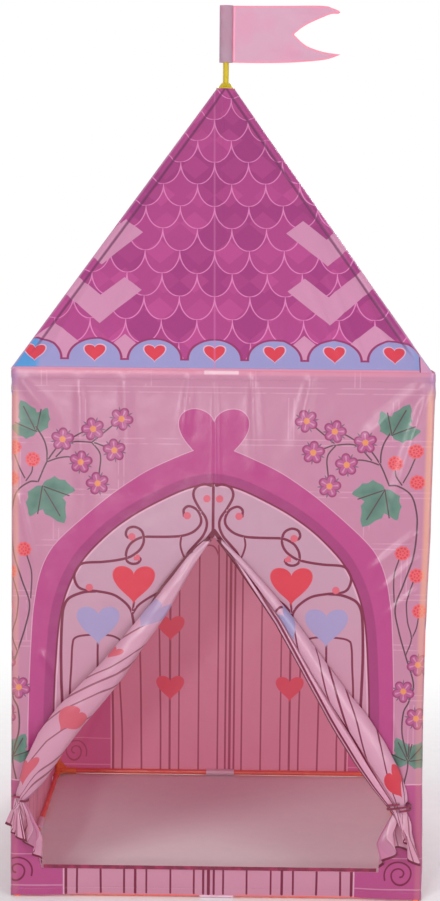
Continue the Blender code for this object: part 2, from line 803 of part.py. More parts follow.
def build():
    clear_scene()
    tube_paint = paint("tube_coral", (0.62, 0.11, 0.06), 0.35)
    base_paint = paint("joint_orange", (0.80, 0.28, 0.06), 0.45)
    eave_paint = paint("joint_blue", (0.10, 0.22, 0.55), 0.45)
    hub_paint = paint("joint_yellow", (0.72, 0.52, 0.01), 0.40)
    coupler_paint = paint("coupler_white", (0.78, 0.68, 0.70), 0.45)
    roof_paint = paint("roof_cloth", (0.42, 0.06, 0.24), 0.85)
    wall_paint = paint("wall_cloth", (0.62, 0.28, 0.42), 0.85)
    flap_paint = paint("flap_cloth", (0.68, 0.40, 0.54), 0.85)
    tape_paint = paint("binding_tape", (0.17, 0.01, 0.05), 0.80)
    cord_paint = paint("tie_cord", (0.12, 0.02, 0.04), 0.80)
    flag_paint = paint("flag_cloth", (0.72, 0.45, 0.58), 0.85)

    base_mesh = base_joint_mesh()
    eave_mesh = eave_joint_mesh()
    corner_base = Vector((-FRAME_HALF, -FRAME_HALF, BASE_AXIS_HEIGHT))
    corner_eave = Vector((-FRAME_HALF, -FRAME_HALF, EAVE_AXIS_HEIGHT))
    corner_stops = (CORNER_STOP, CORNER_STOP)
    for sector, (corner, side) in enumerate(zip(CORNERS, SIDES)):
        quarter = bpy.data.objects.new(f"quarter_{side}", None)
        bpy.context.scene.collection.objects.link(quarter)
        quarter.rotation_euler = (0, 0, math.tau * sector / SECTORS)
        place(f"base_joint_{corner}", base_mesh, base_paint, quarter, corner_base)
        place(f"eave_joint_{corner}", eave_mesh, eave_paint, quarter, corner_eave)
        run_of_tubes(
            (f"base_tube_{side}_1", f"base_tube_{side}_2"),
            corner_base, AXIS_X, 2 * FRAME_HALF, corner_stops, tube_paint, quarter,
            coupler=(f"base_coupler_{side}", coupler_paint),
        )
        run_of_tubes(
            (f"eave_tube_{side}_1", f"eave_tube_{side}_2"),
            corner_eave, AXIS_X, 2 * FRAME_HALF, corner_stops, tube_paint, quarter,
        )
        run_of_tubes(
            (f"upright_{corner}_lower", f"upright_{corner}_upper"),
            corner_base, AXIS_Z, EAVE_AXIS_HEIGHT - BASE_AXIS_HEIGHT, corner_stops,
            tube_paint, quarter,
        )
        run_of_tubes(
            (f"hip_tube_{corner}_lower", f"hip_tube_{corner}_upper"),
            corner_eave, HIP_DIRECTION, HIP_LENGTH, (CORNER_STOP, HUB_STOP),
            tube_paint, quarter,
        )
        place(f"roof_panel_{side}", roof_panel_mesh(f"roof_panel_{side}"), roof_paint, quarter)
        if side != "front":
            place(f"wall_{side}", wall_mesh(f"wall_{side}"), wall_paint, quarter)
    place("roof_hub", hub_mesh(), hub_paint, location=(0, 0, HUB_AXIS_HEIGHT))

    front_wall("wall_front", wall_paint)
    sill_binding("sill_binding", tape_paint)
    hinge = (0, -WALL_OUTER, SLIT_TOP_HEIGHT)
    for name, shape, turns, tail in (
        ("left", LEFT_FLAP, 1, True),
        ("right", RIGHT_FLAP, 2, False),
    ):
        place(f"door_flap_{name}", flap_mesh(f"door_flap_{name}", shape), flap_paint,
              location=hinge)
        place(f"tie_cord_{name}", tie_mesh(f"tie_cord_{name}", shape, turns, tail), cord_paint,
              location=hinge)
    flag("flag", flag_paint)


build()
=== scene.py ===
"""Looks of the square play tent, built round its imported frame.

Metres, +Z up, the door faces -Y. Each cloth is a single sheet that carries the place of every
point on the flat cloth, so prints, weave and stitches follow its folds.
"""

import math

import bmesh
import bpy
import numpy as np
from mathutils import Matrix, Vector, kdtree

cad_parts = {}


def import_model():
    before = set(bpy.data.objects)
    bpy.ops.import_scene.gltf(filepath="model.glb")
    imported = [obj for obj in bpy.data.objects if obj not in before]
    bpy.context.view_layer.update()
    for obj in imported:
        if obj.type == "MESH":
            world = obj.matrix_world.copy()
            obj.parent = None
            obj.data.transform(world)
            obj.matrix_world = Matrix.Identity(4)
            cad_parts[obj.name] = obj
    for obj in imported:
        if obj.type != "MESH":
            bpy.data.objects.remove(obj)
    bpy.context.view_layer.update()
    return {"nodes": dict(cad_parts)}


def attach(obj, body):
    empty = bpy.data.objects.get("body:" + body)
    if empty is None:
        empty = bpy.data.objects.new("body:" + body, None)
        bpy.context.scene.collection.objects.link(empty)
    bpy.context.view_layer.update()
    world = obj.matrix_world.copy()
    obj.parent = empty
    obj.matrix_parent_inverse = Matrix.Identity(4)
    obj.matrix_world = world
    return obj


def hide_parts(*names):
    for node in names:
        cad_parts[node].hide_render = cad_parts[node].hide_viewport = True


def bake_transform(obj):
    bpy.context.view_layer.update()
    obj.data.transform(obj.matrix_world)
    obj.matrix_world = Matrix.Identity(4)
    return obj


# Camera
CAMERA_PLACE = (0.023, -3.231, 1.130)
CAMERA_YAW = 0.48
CAMERA_PITCH = -7.08
CAMERA_ROLL = 0.56
CAMERA_LENS = 70.24
CAMERA_SENSOR = 36.0

# Stage: name, place, aim, size and power of each light
LIGHTS = (
    ("key", (-1.5, -3.3, 2.6), (0, 0, 0.7), 1.2, 42.0),
    ("fill", (2.2, -3.0, 1.2), (0, 0, 0.6), 1.6, 41.0),
    ("strip", (-0.7, -3.6, 1.05), (0, 0, 0.75), 0.25, 27.0),
    ("back", (0.4, 3.2, 1.9), (0, 0, 0.6), 1.8, 76.0),
)
WORLD_LIGHT = 0.48
FLOOR_REACH = 14.0
FLOOR_FADE = (0.75, 2.2)

# Frame, repeated from the part
FRAME_HALF = 0.340
HUB_AXIS_HEIGHT = 1.397
EAVE_AXIS_HEIGHT = 0.902
CLOTH_GAP = 0.0075
ROOF_ANGLE = math.atan2(HUB_AXIS_HEIGHT - EAVE_AXIS_HEIGHT, FRAME_HALF)
ROOF_SLOPE = math.tan(ROOF_ANGLE)
ROOF_PEAK = HUB_AXIS_HEIGHT + CLOTH_GAP / math.cos(ROOF_ANGLE)
WALL_REACH = FRAME_HALF + CLOTH_GAP
WALL_FLAT_HALF = FRAME_HALF + CLOTH_GAP * math.pi / 4
EAVE_HEIGHT = ROOF_PEAK - WALL_REACH * ROOF_SLOPE
CROWN_HEIGHT = 1.3866
HEM_HEIGHT = 0.0113
SIDES = ("front", "right", "back", "left")

# Door: the slit's top as designed, and how the cloth round it hangs open
SLIT_TOP = np.array(Vector((0, 0.617)))
SLIT_OPEN = 0.0105
SLIT_SHIFT = -0.0097
SLIT_CAP = 0.6375
SILL_EDGE = 0.0517
DOOR_FOOT = 0.058

# Mesh
WALL_CELL = 0.0035
PLAIN_CELL = 0.0045
FLAG_CELL = 0.0022
ROOF_COLUMNS = 144
ROOF_ROWS = 132
FLAP_ROWS = 150
FLAP_COLUMNS = 190
FOLD_STEPS = 12
NEAR_STROKE = 0.008
FAR = 9.0


def srgb(red, green, blue):
    """Linear colour of a screen colour given as 0 to 255."""
    shares = [channel / 255 for channel in (red, green, blue)]
    return tuple(
        share / 12.92 if share <= 0.04045 else ((share + 0.055) / 1.055) ** 2.4
        for share in shares
    ) + (1.0,)


WHITE = (1.0, 1.0, 1.0, 1.0)
GREY = (0.5, 0.5, 0.5, 1.0)
WARM = (1.0, 0.60, 0.62, 1.0)
PINK = srgb(194, 132, 163)
PINK_PALE = srgb(222, 170, 196)
BAND = srgb(182, 64, 134)
BAND_DARK = srgb(160, 50, 118)
MAROON = srgb(122, 14, 62)
GATE = srgb(193, 152, 174)
GATE_LOW = srgb(204, 144, 170)
INNER_FACE = srgb(206, 146, 168)
# painted sheen: pale pink laid over the whole of each flap
FLAP_PAINTED_SHEEN = srgb(240, 184, 212)
RED = srgb(214, 52, 74)
BLUE = srgb(163, 152, 198)
SALMON = srgb(214, 96, 118)
LEAF = srgb(98, 138, 124)
LEAF_DARK = srgb(50, 92, 82)
STEM = srgb(84, 52, 64)
PETAL = srgb(180, 86, 142)
PETAL_EDGE = srgb(150, 44, 104)
SEPAL = srgb(128, 92, 120)
FLOWER_EYE = srgb(226, 148, 92)
BERRY = srgb(232, 92, 100)
BERRY_DARK = srgb(196, 50, 78)
BLOCK = srgb(182, 76, 138)
TAPE = srgb(112, 14, 52)
TAPE_PALE = srgb(146, 30, 74)
# Painted light: colours of the tubes, coupler and joints as they show through the cloth
UPRIGHT_SHOW_THROUGH = srgb(236, 178, 140)
SLEEVE_SHOW_THROUGH = srgb(224, 146, 170)
SLEEVE_LINE_SHOW_THROUGH = srgb(226, 130, 150)
COUPLER_SHOW_THROUGH = srgb(240, 218, 230)
JOINT_SHOW_THROUGH = srgb(160, 128, 196)
TILE_DARK = srgb(158, 42, 122)
TILE_PALE = srgb(186, 68, 142)
TILE_LINE = srgb(226, 132, 192)
ROOF_PATCH = srgb(207, 142, 178)
# painted highlight along the crease down the middle of each roof slope
ROOF_CREASE_HIGHLIGHT = srgb(216, 122, 180)
# painted shade in the dip beside each hip tube
ROOF_GROOVE_SHADE = srgb(96, 16, 78)
# painted highlight on the cloth's round ridge over each hip tube
ROOF_RIDGE_HIGHLIGHT = srgb(232, 168, 208)
EAVE_BLUE = srgb(152, 150, 203)
# painted light: the eave band's brighter blue where a blue joint shows through
EAVE_JOINT_SHOW_THROUGH = srgb(50, 150, 215)
EAVE_LINE = srgb(146, 28, 98)
EAVE_END = srgb(214, 150, 186)
EAVE_FOOT = srgb(220, 140, 168)
HEART_HALO = srgb(232, 190, 212)
FLAG_PINK = srgb(188, 154, 176)
FLAG_PALE = srgb(194, 146, 172)
FLAG_SEAM = srgb(234, 166, 200)
FLAG_RIM = srgb(226, 132, 156)
FLOOR_LIGHT = srgb(246, 246, 246)
FLOOR_SHADE = srgb(240, 240, 241)

# Rigid parts: start of the nodes' names, material, tint, shade and roughness
MOULDED = (
    (("base_tube", "eave_tube", "upright", "hip_tube"), "tube_coral_paint",
     srgb(236, 104, 92), srgb(246, 132, 96), 0.36),
    (("base_joint",), "joint_orange_plastic", srgb(240, 132, 84), srgb(226, 108, 74), 0.42),
    (("eave_joint",), "joint_blue_plastic", srgb(76, 112, 196), srgb(60, 88, 170), 0.42),
    (("roof_hub",), "hub_yellow_plastic", srgb(196, 172, 16), srgb(170, 142, 8), 0.34),
    (("base_coupler",), "coupler_pale_plastic", srgb(232, 196, 212), srgb(206, 160, 184), 0.42),
)


# tables, in ten-thousandths: of a metre, or of the length that their comment names


def table(width, *numbers):
    return np.array(numbers).reshape(-1, width) / 1e4


def strokes(*rows):
    """Half width and points of each printed line."""
    return [(row[0] / 1e4, table(2, *row[1:])) for row in rows]


# Print on the walls, right half: its arch and heart, the gate's bars (offset, half width and
# top) and scrolls, and the vine
ARCH_OUTER = table(2,
    3070, -500, 3070, 1200, 3070, 3130, 3045, 4000, 3000, 4870, 2955, 5230, 2905, 5505,
    2815, 5795, 2670, 6060, 2460, 6290, 2215, 6515, 1980, 6720, 1620, 7010, 1140, 7335,
    665, 7570, 270, 7730, 0, 7810,
)
ARCH_INNER = table(2,
    2660, -500, 2660, 1200, 2660, 3130, 2620, 4100, 2575, 4680, 2515, 5045, 2425, 5350,
    2285, 5660, 2090, 5950, 1730, 6315, 1370, 6590, 1015, 6800, 580, 7015, 300, 7115, 0, 7165,
)
TOP_HEART = (0.816, 0.058)
BAR_ROWS = table(3, 0, 26, 6400, 90, 19, 5800, 1060, 15, 4520)
BAR_FOOT = 0.014
SCROLLS = strokes(
    (24, 0, 7160, 0, 6420),
    (22, 40, 7130, 170, 7150, 300, 7080, 325, 6940, 230, 6750, 125, 6590, 105, 6450, 165, 6290,
     290, 6140, 400, 6010, 455, 5890),
    (22, 485, 6620, 485, 6725, 405, 6780, 280, 6730, 205, 6600, 215, 6470, 330, 6350, 500, 6285,
     700, 6265, 950, 6260, 1137, 6255, 1252, 6221, 1359, 6149, 1427, 6041, 1447, 5935,
     1427, 5842, 1341, 5798, 1245, 5817, 1207, 5880, 1245, 5915),
    (17, 525, 6270, 540, 6130, 505, 5990, 455, 5890),
    (22, 1345, 6235, 1425, 6250, 1449, 6313, 1411, 6392, 1316, 6421, 1215, 6383, 1163, 6304,
     1153, 6168, 1215, 6040, 1331, 5943, 1446, 5890, 1629, 5849, 1850, 5820, 2167, 5794,
     2277, 5679, 2310, 5546, 2245, 5395, 2107, 5335, 1933, 5323, 1662, 5270, 1464, 5140,
     1362, 5008, 1330, 4880, 1300, 4700, 1255, 4400, 1250, 3600, 1250, 140),
    (24, 1933, 5323, 2163, 5301, 2391, 5204, 2485, 5051, 2515, 4823, 2530, 4443, 2530, 4000,
     2500, 3000, 2455, 2000, 2434, 1000, 2434, 140),
    (17, 2246, 140, 2246, 1000, 2330, 2500, 2382, 3474, 2358, 4065, 2340, 4407, 2286, 4530,
     2075, 4575, 1747, 4575, 1592, 4530, 1532, 4455, 1500, 4200, 1485, 3500, 1455, 2000,
     1440, 1000, 1440, 140),
    (18, 1915, 4440, 1918, 4180, 1910, 3600, 1860, 2000, 1837, 140),
    (18, 1310, 5150, 1330, 5010),
    (20, 1340, 4940, 1240, 5090, 1075, 5215, 927, 5300, 850, 5340, 800, 5300, 780, 5170,
     800, 5030, 850, 4900),
    (16, 250, 140, 250, 4400, 265, 4680, 340, 4840, 450, 4885, 560, 4840, 635, 4680, 650, 4400,
     650, 140),
)
SPIRAL_CENTRE = (0.3234, 0.0480)
SPIRAL_REACH = 0.0250
SPIRAL_HALF = 0.0014
STEMS = strokes(
    (13, 2910, 7165, 3060, 7155, 3260, 7000, 3350, 6700, 3360, 6400, 3320, 5970, 3180, 5500,
     3055, 5110, 3120, 4720, 3255, 4275, 3400, 3800, 3330, 3500, 3240, 3296, 3226, 2925,
     3330, 2450, 3260, 2050),
    (13, 2910, 7165, 2760, 7503, 2575, 7765, 2470, 7850),
    (13, 2760, 7503, 2765, 7690, 2815, 7870, 2940, 8080),
    (12, 2745, 7503, 2575, 7561, 2390, 7581, 2240, 7520),
    (12, 2610, 7585, 2354, 7823, 2020, 7827, 1837, 7773, 1680, 7710),
    (12, 2020, 7827, 1616, 8165),
    (12, 2380, 7879, 2188, 7992, 2040, 8040),
    (12, 2020, 7827, 1900, 7680, 1873, 7550, 1892, 7363, 1915, 7180),
    (11, 3130, 7220, 3220, 7400, 3310, 7640),
    (11, 3110, 7180, 3020, 7320, 3000, 7440),
    (11, 3095, 5920, 3020, 5620, 3035, 5200),
    (11, 3340, 5560, 3265, 5315, 3240, 5150, 3270, 4860, 3345, 4570, 3255, 4286),
    (11, 3450, 4940, 3420, 4750, 3345, 4570),
)
VEIN_TIPS = ((0.0, 0.80), (0.42, 0.50), (-0.42, 0.50))
VEIN_HALF = 0.0010

# Print on the roof
ROOF_DRIFT = 0.0113
ROOF_LEAN = 0.0148
ROOF_GROOVE_REACH = 0.0125
TILE_PITCH = 0.0594
TILE_RISE = 0.0464
TILE_FIRST = 0.1455
FACET_PITCH = 0.118
SCALLOP_PITCH = 0.0991
SCALLOP_HALF = 0.0445
SCALLOP_LOW = 0.0205
SCALLOP_RISE = 0.0395
BAND_FOOT = 0.0036
ROOF_BAND_END = 0.3265
EAVE_HEART = 0.0172
EAVE_HEART_LEVEL = 0.0400
ZIGZAG_PLACE = 0.192
ZIGZAG_LOW = 0.089
ZIGZAG_HIGH = 0.145
ZIGZAG_STEP = 0.118
DIAMONDS = ((0.267, 0.090, 0.87), (0.1490, 0.069, 0.95))

# Motifs: place, size, turn. Hearts: x, z, half width, kind, turn. A flap's are given where
# they come to lie once it is gathered.
KIND_RED, KIND_BLUE, KIND_FLOWER, KIND_LEAF, KIND_BERRY, KIND_DOT = 1, 2, 3, 4, 5, 6
GATE_HEARTS = (
    (0.1315, 0.561, 0.0355, 1, 0.0), (0.1910, 0.491, 0.0358, 2, 0.0),
    (0.1245, 0.327, 0.029, 1, 0.0), (0.1245, 0.200, 0.029, 1, 0.0),
)
FLAP_HEARTS = {
    "left": ((0.172, 0.294, 0.0290, 1, 0.35), (0.186, 0.184, 0.0270, 1, 0.60),
             (0.052, 0.489, 0.0300, 2, 0.30), (0.081, 0.401, 0.0130, 1, 0.30)),
    "right": ((0.200, 0.184, 0.0300, 1, 0.35), (0.050, 0.474, 0.0280, 2, 0.30)),
}
DOTS = table(2, 105, 6910, 430, 6620, 1350, 6255, 1260, 5895, 2059, 5385)
DOT_SIZE = 0.0062
FLOWERS = (
    (0.2503, 0.7876, 0.4), (0.1997, 0.8051, 1.3), (0.1526, 0.8225, 2.0), (0.1645, 0.7701, 0.2),
    (0.2201, 0.7501, 1.7), (0.1922, 0.7142, 2.6), (0.3470, 0.4130, 0.9), (0.3230, 0.3666, 2.2),
    (0.3460, 0.3206, 1.1),
)
FLOWER_SIZE = 0.0205
LEAVES = (
    (0.294, 0.800, 1.10, 0.058), (0.284, 0.709, -2.10, 0.072), (0.333, 0.246, 2.05, 0.046),
    (0.334, 0.246, 0.85, 0.046),
)
BERRIES = table(2,
    3000, 7537, 3310, 7740, 3350, 7220, 3145, 6030, 3385, 5650, 3460, 5050,
)
BERRY_SIZE = 0.0128
HEART_RISE = 0.72
LEAF_MIDDLE = 0.45
LEAF_WEIGHT = 1.35
STAMP_REACH = 1.8

# Folds: both ends, width and height
FRONT_FOLDS = table(6,
    -100, 9000, -60, 6400, 40, 16, 520, 9000, 600, 7000, 100, 24,
    1500, 9000, 1200, 7400, 120, 28, -520, 9000, -660, 7600, 90, 18,
    -1600, 9000, -1500, 6400, 140, 20, -2350, 9000, -2220, 5600, 120, 22,
    3300, 8900, 2100, 7600, 120, 30, 3360, 8800, 2700, 6100, 100, 26,
    -3340, 8900, -2600, 8000, 110, 26, -3360, 7000, -2900, 5000, 80, 18,
    3250, 6400, 2400, 5600, 70, 22, 3300, 6000, 2550, 5200, 60, 18,
    3300, 5450, 2620, 4800, 60, 16, -3000, 4300, -2300, 3300, 90, 18,
    2960, 3300, 3300, 1200, 80, 20, -3180, 3300, -3350, 1200, 80, 20,
)
PLAIN_FOLDS = table(6,
    -2000, 9000, -1900, 5000, 140, 22, -600, 9000, -800, 5600, 120, 24,
    1000, 9000, 850, 4500, 130, 24, 2400, 9000, 2250, 6000, 110, 20,
    3300, 8900, 1900, 6900, 120, 28, -3300, 8900, -2000, 6600, 120, 28,
    -3000, 300, -1900, 3000, 120, 20, 3100, 300, 1700, 3300, 120, 22,
)
ROOF_FOLDS = table(6,
    -40, 5700, -40, 0, 22, 12, 1000, 0, 1080, 1500, 60, 20, 470, 0, 500, 1000, 40, 12,
    -470, 0, -520, 1000, 50, 12, 2000, 200, 1200, 2400, 70, 22, 2400, 100, 1300, 3200, 60, 20,
    -2200, 200, -1300, 2200, 80, 20, 2900, 200, 1500, 3600, 60, 18,
    -2900, 200, -1700, 3000, 60, 16,
)
WALL_FOLD_RISE = 1.7

# Slack of the walls: how far they stand out sideways at each height, how far the hem is drawn
# in towards the base tubes, and how far it droops
LEFT_FLARE = table(2, 0, 48, 1000, 42, 3100, 20, 6200, 0, 9100, -12)
RIGHT_FLARE = table(2,
    0, 22, 600, 30, 2000, 0, 3100, -14, 4500, -14, 6200, 30, 8800, 55, 9100, 40,
)
HEM_TUCK = 0.0016
DROOP = 0.0102
FRONT_DROOP = (0.0042, 0.0034)

# Door flaps, in shares of the way to the tie: edge of the wall, contour of each gathered flap
# (inner and outer edge across it) and its depth in metres
DOOR_EDGE_SHARES = table(2,
    1200, 160, 5000, 200, 9000, 100, 10000, 0, 10500, -450, 10850, -1100,
)
CONTOUR_SHARES = {
    "left": table(3,
        0, 0, 100, 500, 20, 240, 1000, 40, 340, 2000, 30, 460, 3000, -10, 600, 4000, -80, 640,
        5000, -160, 670, 6000, -130, 790, 7000, -90, 920, 8000, -100, 900, 9050, -160, 700,
        9700, -140, 420, 10000, -110, 300,
    ),
    "right": table(3,
        0, 0, 100, 500, 30, 220, 1000, 50, 340, 2000, 40, 480, 3000, 0, 590, 4000, -80, 620,
        5000, -180, 650, 6000, -230, 700, 7000, -310, 790, 8000, -360, 780, 9000, -350, 670,
        9700, -300, 500, 10000, -270, 370,
    ),
}
DEPTH_ROWS = table(2,
    0, 22, 800, 60, 2000, 110, 4000, 160, 6500, 195, 8500, 175, 9500, 118, 10000, 70,
)
FLAP_START = 0.012
FLAP_END = 1.16
FLAP_REST = 0.0006
STRIP_DEPTH = 0.0042
# Hem of each tail on the wall, from the attached corner to the slit's lower corner
TAIL_HEMS = {
    "left": table(2,
        -2950, 640, -3120, 880, -3320, 1080, -3560, 1340, -3430, 1200, -3260, 1030,
    ),
    "right": table(2,
        2740, 610, 2960, 850, 3110, 970, 3240, 840, 3390, 700, 3310, 980, 3120, 1180,
    ),
}
TAIL_WAVES = math.tau * 2.6
TAIL_DEPTH = 0.0150
TAIL_BELLY = {"left": 0.0020, "right": 0.0080}

# Ties
TIE_RADIUS = 0.0018
TIE_PITCH = 0.0066
TIE_BEND = 0.0068
TIE_STEPS = 40

# Flag: its upper edge, notch and lower edge
FLAG_EDGES = (
    table(2,
        115, 1010, 600, 1012, 1680, 1018, 1900, 980, 2020, 935, 2045, 905,
    ),
    table(2,
        2045, 905, 2000, 880, 1880, 875, 1680, 795, 1400, 660, 1210, 515,
    ),
    table(2, 1210, 515, 1360, 370, 1500, 285, 1760, 205, 2060, 165),
    table(2, 2060, 165, 1880, 95, 1680, 55, 1200, 15, 600, 2, 115, 5),
)
FLAG_LENGTH = 0.206
FLAG_HEIGHT = 0.102
FLAG_LOW = 1.4328
SLEEVE_GIRTH = 0.062
SLEEVE_STEPS = 40
SLEEVE_ROWS = 36


def operation(kind, flipped=False):
    """A method that adds one Math node."""

    def method(self, *others):
        values = (*others, self) if flipped else (self, *others)
        return self.graph.math(kind, *values)

    return method


class Value:
    """A shader socket that takes part in arithmetic."""

    def __init__(self, graph, socket):
        self.graph, self.socket = graph, socket

    __add__ = __radd__ = operation("ADD")
    __sub__ = operation("SUBTRACT")
    __rsub__ = operation("SUBTRACT", flipped=True)
    __mul__ = __rmul__ = operation("MULTIPLY")
    __truediv__ = operation("DIVIDE")
    __abs__ = operation("ABSOLUTE")
    at_least = operation("MAXIMUM")
    at_most = operation("MINIMUM")
    power = operation("POWER")
    root = operation("SQRT")
    sine = operation("SINE")
    cosine = operation("COSINE")
    bearing = operation("ARCTAN2")
    floor = operation("FLOOR")
    fraction = operation("FRACT")

    def __neg__(self):
        return self * -1.0

    def is_kind(self, kind):
        return self.graph.math("COMPARE", self, kind, 0.5)

    def ramp(self, start, end, low=0.0, high=1.0, interpolation_type="SMOOTHSTEP"):
        """Step from low to high as the value goes from start to end."""
        inputs = {"Value": self, "From Min": start, "From Max": end, "To Min": low, "To Max": high}
        node = self.graph.node("MapRange", inputs, interpolation_type=interpolation_type)
        return Value(self.graph, node.outputs["Result"])

    def under(self, limit=0.0, soft=0.0004):
        """1 where the value is under the limit, 0 where it is over, with a soft step between."""
        return self.ramp(limit + soft, limit - soft, interpolation_type="LINEAR")

    def over(self, limit, soft=0.0004):
        return self.under(limit, -soft)


class Graph:
    """Node tree of a material or the world. Prints are laid over its colour one by one."""

    def __init__(self, owner, colour=WHITE):
        owner.use_nodes = True
        self.owner, self.tree, self.colour = owner, owner.node_tree, colour
        self.tree.nodes.clear()

    def node(self, kind, inputs=(), **settings):
        node = self.tree.nodes.new(f"ShaderNode{kind}")
        for key, value in settings.items():
            setattr(node, key, value)
        for key, value in dict(inputs).items():
            value = value.socket if isinstance(value, Value) else value
            if isinstance(value, bpy.types.NodeSocket):
                self.tree.links.new(value, node.inputs[key])
            else:
                node.inputs[key].default_value = value
        return node

    def math(self, kind, *values):
        return Value(self, self.node("Math", enumerate(values), operation=kind).outputs[0])

    def mix(self, first, second, share, mode="MIX"):
        inputs = {"Factor": share, 6: first, 7: second}
        return self.node("Mix", inputs, data_type="RGBA", blend_type=mode).outputs[2]

    def lay(self, tint, share):
        self.colour = self.mix(self.colour, tint, share)

    def attribute(self, name):
        return self.node("Attribute", attribute_name=name).outputs["Vector"]

    def split(self, vector):
        node = self.node("SeparateXYZ", {"Vector": vector})
        return [Value(self, socket) for socket in node.outputs]

    def read(self, name):
        """The three numbers of an attribute."""
        return self.split(self.attribute(name))

    def place(self):
        return self.node("TexCoord").outputs["Object"]

    def noise(self, vector, scale, detail=2.0, roughness=0.5):
        inputs = {"Vector": vector, "Scale": scale, "Detail": detail, "Roughness": roughness}
        return Value(self, self.node("TexNoise", inputs).outputs["Fac"])

    def bump(self, height, strength, distance, **normal):
        inputs = {"Height": height, "Strength": strength, "Distance": distance, **normal}
        return self.node("Bump", inputs).outputs["Normal"]

    def surface(self, roughness, inputs=()):
        inputs = {"Base Color": self.colour, "Roughness": roughness, **dict(inputs)}
        return self.node("BsdfPrincipled", inputs).outputs[0]

    def seen(self):
        """1 for rays that come from the camera, also by reflection or through glass."""
        path = self.node("LightPath").outputs
        camera, gloss, through = (
            Value(self, path[f"Is {kind} Ray"]) for kind in ("Camera", "Glossy", "Transmission")
        )
        return camera.at_least(gloss).at_least(through)

    def blend(self, first, second, share):
        return self.node("MixShader", {"Fac": share, 1: first, 2: second}).outputs[0]

    def output(self, shader, kind="Material"):
        self.node(f"Output{kind}", {"Surface": shader})
        return self.owner


def new_graph(name, colour=WHITE):
    return Graph(bpy.data.materials.new(name), colour)


# shapes in numbers


def value_noise(x, y, seed):
    """Smooth noise from -1 to 1 on a unit lattice."""
    x0, y0 = np.floor(x), np.floor(y)
    fx, fy = x - x0, y - y0
    fx, fy = fx * fx * (3 - 2 * fx), fy * fy * (3 - 2 * fy)

    def corner(i, j):
        h = np.sin((x0 + i) * 127.1 + (y0 + j) * 311.7 + seed * 74.7) * 43758.5453
        return 2 * (h - np.floor(h)) - 1

    low = corner(0, 0) * (1 - fx) + corner(1, 0) * fx
    high = corner(0, 1) * (1 - fx) + corner(1, 1) * fx
    return low * (1 - fy) + high * fy


def step_up(x, start, end):
    """Smooth step of an array from start to end."""
    t = np.clip((x - start) / (end - start), 0, 1)
    return t * t * (3 - 2 * t)


def curve_through(points, steps):
    """Smooth curve through rows of points."""
    p = np.array(points, float)
    ends = np.concatenate((2 * p[:1] - p[1:2], p, 2 * p[-1:] - p[-2:-1]))
    out = []
    for index in range(len(p) - 1):
        a, b, c, d = ends[index : index + 4]
        for t in np.linspace(0, 1, steps, endpoint=False):
            out.append(0.5 * (2 * b + (c - a) * t + (2 * a - 5 * b + 4 * c - d) * t**2
                              + (3 * b - a - 3 * c + d) * t**3))
    return np.array([*out, p[-1]])


def run_along(points):
    """Way from the first point to each, along the line."""
    return np.concatenate(([0], np.cumsum(np.linalg.norm(np.diff(points, axis=0), axis=1))))


def smooth_line(points, spacing):
    """Points at equal spacing along a smooth curve through the given points."""
    dense = curve_through(points, 24)
    run = run_along(dense)
    spots = np.linspace(0, run[-1], max(2, int(run[-1] / spacing) + 1))
    return np.stack([np.interp(spots, run, axis) for axis in dense.T], axis=1)


def nearest_on(points, outline):
    """Nearest place on a closed outline, and the distance to it, negative inside."""
    ring = np.array(outline, float)
    nearest, best = points.copy(), np.full(len(points), 1e9)
    inside = np.zeros(len(points), bool)
    for start, end in zip(ring, np.roll(ring, -1, axis=0)):
        edge = end - start
        share = np.clip((points - start) @ edge / max(edge @ edge, 1e-12), 0, 1)
        spot = start + share[:, None] * edge
        gap = np.linalg.norm(points - spot, axis=1)
        closer = gap < best
        best[closer], nearest[closer] = gap[closer], spot[closer]
        if start[1] != end[1]:
            over = (start[1] > points[:, 1]) != (end[1] > points[:, 1])
            cross = start[0] + (points[:, 1] - start[1]) / (end[1] - start[1]) * edge[0]
            inside ^= over & (points[:, 0] < cross)
    return nearest, np.where(inside, -1, 1) * best


def signed_distance(points, outline):
    return nearest_on(points, outline)[1]


def outline_area(outline):
    x, y = np.array(outline).T
    return abs((x * np.roll(y, -1) - np.roll(x, -1) * y).sum()) / 2


def closed_arch(half):
    """Outline of an arch from the points of its right half."""
    line = smooth_line(half, 0.011)
    return np.vstack((line, (line * (-1, 1))[::-1][1:]))


def heart_outline(centre_height, half_width):
    """Outline of an upright heart whose lobes are widest at the given height."""
    turn = np.linspace(0, math.tau, 96, endpoint=False)
    rise = HEART_RISE * (np.sin(turn) + np.sqrt(np.abs(np.cos(turn))) - 1)
    return np.stack((np.cos(turn) * half_width, centre_height + rise * half_width), axis=1)


def spiral_line():
    """Volute drawn in the corner blocks."""
    turns = np.linspace(0, 1, 60)
    angle = math.radians(200) - turns * math.tau * 1.75
    reach = SPIRAL_REACH * (1 - 0.82 * turns)
    return np.stack((np.cos(angle), np.sin(angle)), axis=1) * reach[:, None] + SPIRAL_CENTRE


def both_sides(rows):
    """Each line of the right half, with its mirror image."""
    out = []
    for half, points in rows:
        p = np.array(points, float)
        sides = (1, -1) if np.abs(p[:, 0]).max() > 1e-6 else (1,)
        out += [(half, p * (side, 1)) for side in sides]
    return out


def gate_strokes():
    bars = [(half, ((offset, BAR_FOOT), (offset, top))) for offset, half, top in BAR_ROWS]
    return both_sides([*bars, *SCROLLS, (SPIRAL_HALF, spiral_line())])


def vine_strokes():
    veins = []
    for x, y, turn, size in LEAVES:
        along = np.array((math.cos(turn), math.sin(turn))) * size
        aside = np.array((-along[1], along[0]))
        root = np.array((x, y))
        veins += [(VEIN_HALF, (root, root + aside * a + along * b)) for a, b in VEIN_TIPS]
    return both_sides([*STEMS, *veins])


